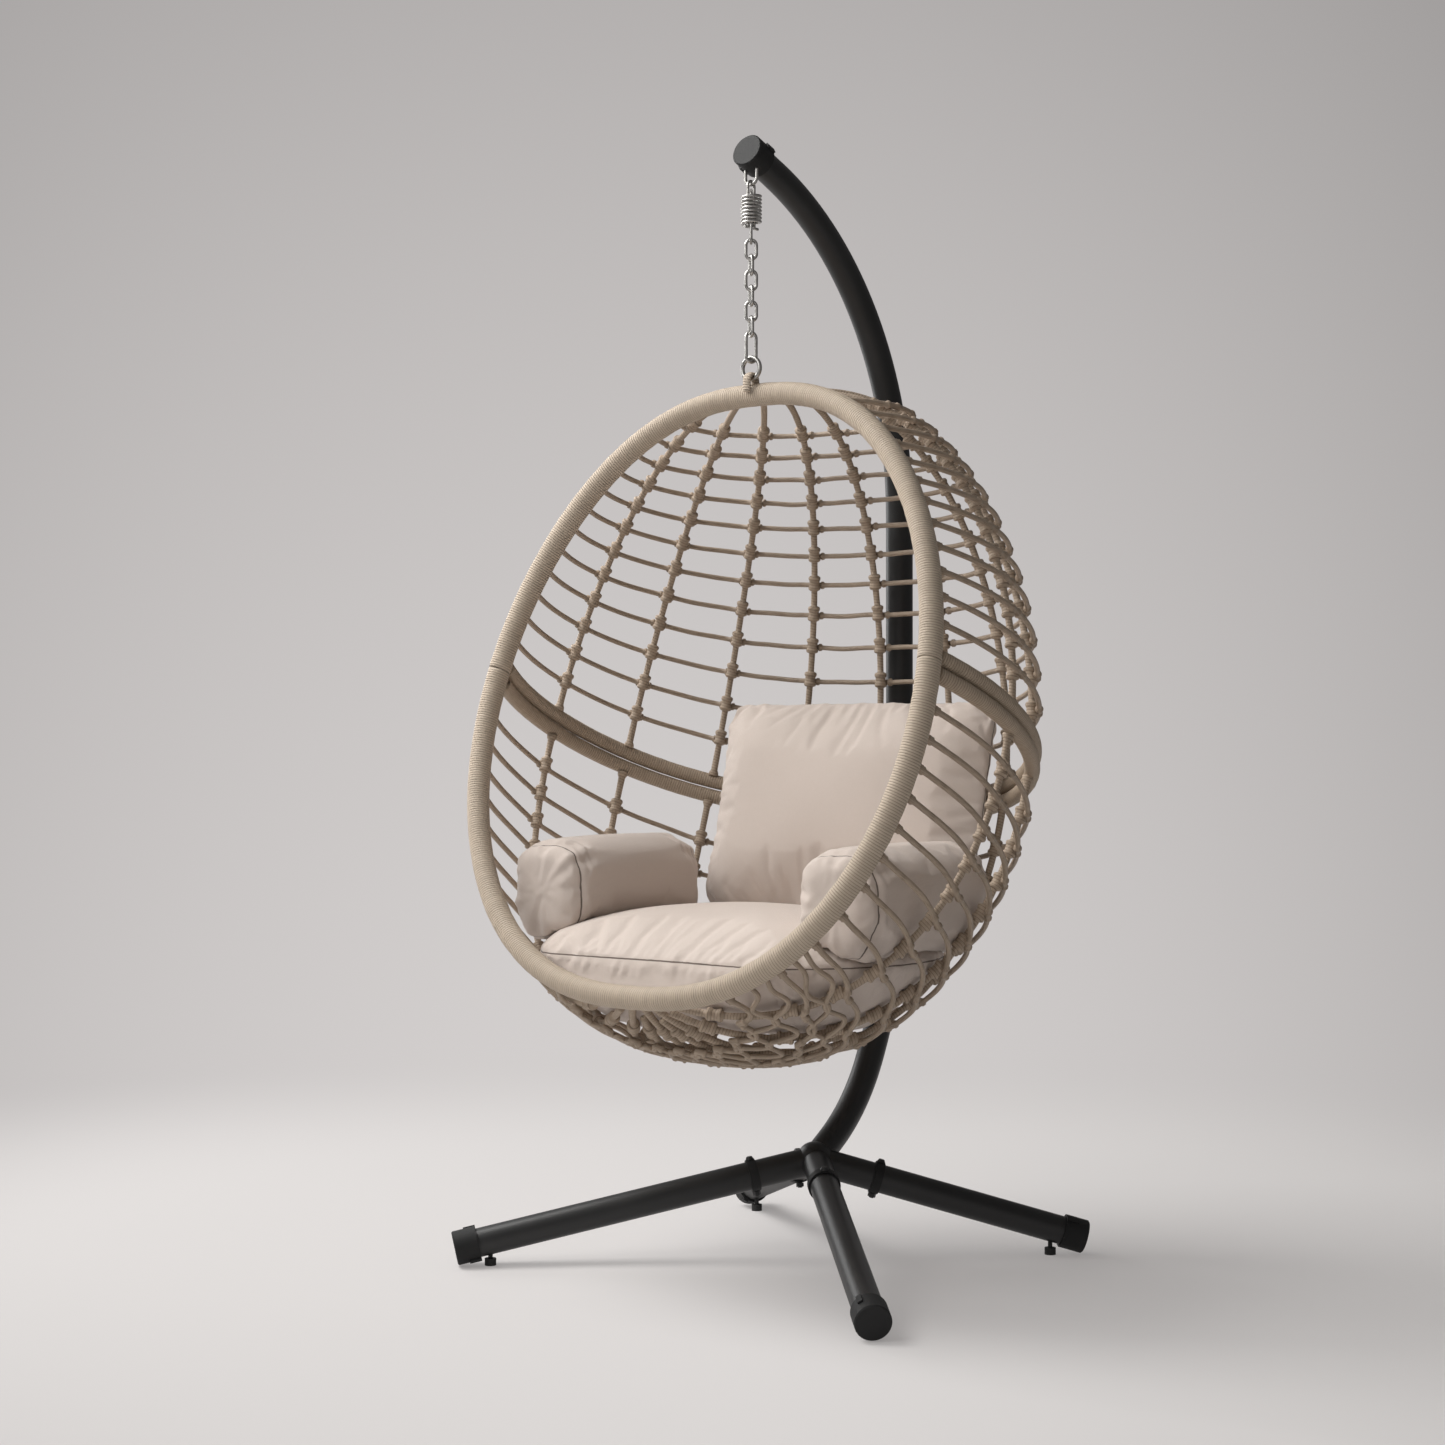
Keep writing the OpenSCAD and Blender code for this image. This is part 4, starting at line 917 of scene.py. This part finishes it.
# ---- Floor, light and camera ----
# ACROSS points to the camera's right, and LOOK_UP is its tilt in radians
CAMERA_AT, ACROSS, LOOK_UP = Vector((2.518, -3.402, 0.9143)), Vector((0.7891, 0.6143, 0)), 0.0070
WALL_TINT, LAMP_TINT = (1, 0.957, 0.945), (1.0, 0.99, 0.975)
# Painted light: this share of the floor near the chair glows for the camera and in reflections, lifting the
# chair's cast shadow
NEAR_GLOW = 0.4  # how much of the floor near the chair is of the wall's tone


def wall_tone(graph, way):
    """The far wall: brightest low down and a little left of the middle, darker towards the edges.

    Mirrored, it goes darker than it is ever seen."""
    rise = graph.node("ShaderNodeSeparateXYZ", None, way)[2]
    aside = graph.node("ShaderNodeVectorMath", {"operation": "DOT_PRODUCT"}, way, ACROSS)[1] + 0.04
    level = (0.61 - rise * 0.35 - rise * rise * 0.6) * (1 - aside * aside * 2.2)
    least = graph.node("ShaderNodeLightPath")[0] * 0.18 + 0.15
    return graph.mix(level.maths("MAXIMUM", least), (0, 0, 0), WALL_TINT)


def ambient_tone(graph, way):
    """The room's own light comes more from the left and from above"""
    rise = graph.node("ShaderNodeSeparateXYZ", None, way)[2]
    aside = graph.node("ShaderNodeVectorMath", {"operation": "DOT_PRODUCT"}, way, ACROSS)[1]
    return graph.mix(0.24 - aside * 0.2 + rise * 0.08, (0, 0, 0), (1, 0.985, 0.97))


def backdrop():
    """Pale floor that keeps a soft shadow near the chair and fades to the tone of the far wall. Painted
    light: its colour grows paler towards the camera's right, and near the chair a share of the wall's tone
    glows on it and lifts the shadow
    """
    f = Finish("pale studio floor")
    spot = f.place()
    far = f.node("ShaderNodeVectorMath", {"operation": "LENGTH"}, spot)[1]
    way = f.node("ShaderNodeVectorMath", {"operation": "SUBTRACT"}, spot, CAMERA_AT)[0]
    way = f.node("ShaderNodeVectorMath", {"operation": "NORMALIZE"}, way)[0]
    glow = f.node("ShaderNodeEmission", None, wall_tone(f, way), 1.0)[0]
    aside = f.node("ShaderNodeVectorMath", {"operation": "DOT_PRODUCT"}, spot, ACROSS)[1]
    # Painted light: the floor's colour grows paler towards the camera's right, standing in for more light
    # there
    pale = f.mix(f.clamp(aside, -1.2, 1.6) + f.noise(0.6, 2) * 0.06, (0.61, 0.593, 0.587),
                 (0.86, 0.839, 0.829))
    f.set(Base_Color=pale, Roughness=0.9, Specular_IOR_Level=0.1)
    ways = f.node("ShaderNodeLightPath")
    # Painted light: near the chair a NEAR_GLOW share of the floor glows with the wall's tone
    seen = ways[0].maths("MAXIMUM", ways[3]) * (f.clamp(far, 1.3, 3.0) * (1 - NEAR_GLOW) + NEAR_GLOW)
    mixed = f.node("ShaderNodeMixShader", None, seen, Wire(f, f.shader.outputs[0]), glow)[0]
    f.tree.links.new(mixed.socket, f.tree.nodes["Material Output"].inputs[0])
    return f.material


def studio_floor():
    ground = bmesh.new()
    bmesh.ops.create_circle(ground, cap_ends=True, segments=64, radius=60)
    mesh = bpy.data.meshes.new("studio_floor")
    ground.to_mesh(mesh)
    ground.free()
    floor = bpy.data.objects.new("studio_floor", mesh)
    bpy.context.scene.collection.objects.link(floor)
    mesh.materials.append(backdrop())


def studio_world():
    """The far wall as it is seen and mirrored, and the room's own light for all else"""
    world = bpy.data.worlds.new("studio")
    bpy.context.scene.world = world
    world.use_nodes = True
    sky = Graph(world.node_tree)
    sky.tree.nodes.clear()
    way = sky.node("ShaderNodeTexCoord")[0]
    seen = sky.node("ShaderNodeBackground", None, wall_tone(sky, way), 1.0)[0]
    ambient = sky.node("ShaderNodeBackground", None, ambient_tone(sky, way), 1.0)[0]
    ways = sky.node("ShaderNodeLightPath")
    pick = sky.node("ShaderNodeMixShader", None, ways[0].maths("MAXIMUM", ways[3]), ambient, seen)[0]
    out = sky.tree.nodes.new("ShaderNodeOutputWorld")
    sky.tree.links.new(pick.socket, out.inputs[0])


def softbox(name, place, aim, width, power, tint=(1, 1, 1)):
    """A square lamp that points at its aim"""
    lamp = bpy.data.lights.new(name, "AREA")
    lamp.shape, lamp.size, lamp.size_y, lamp.energy, lamp.color = "RECTANGLE", width, width, power, tint
    holder = bpy.data.objects.new(name, lamp)
    holder.location = place
    holder.rotation_euler = (Vector(aim) - Vector(place)).to_track_quat("-Z", "Y").to_euler()
    bpy.context.scene.collection.objects.link(holder)


def studio_camera():
    data = bpy.data.cameras.new("camera")
    data.lens = 60.42
    data.sensor_width = 36
    camera = bpy.data.objects.new("camera", data)
    camera.location = CAMERA_AT
    look = Vector((-ACROSS.y, ACROSS.x, math.tan(LOOK_UP)))
    camera.rotation_euler = look.to_track_quat("-Z", "Y").to_euler()
    bpy.context.scene.collection.objects.link(camera)
    bpy.context.scene.camera = camera


studio_floor()
studio_world()
softbox("key", (-2.1, -1.0, 3.7), (0, 0, 0.7), 2.2, 150, LAMP_TINT)
softbox("front", (-0.9, -3.4, 3.2), (0, 0, 0.9), 2.2, 48, LAMP_TINT)
softbox("edge", (-3.4, 0.6, 1.7), (0, 0, 1.1), 1.4, 26)
studio_camera()
bpy.context.scene.view_settings.view_transform = "Standard"
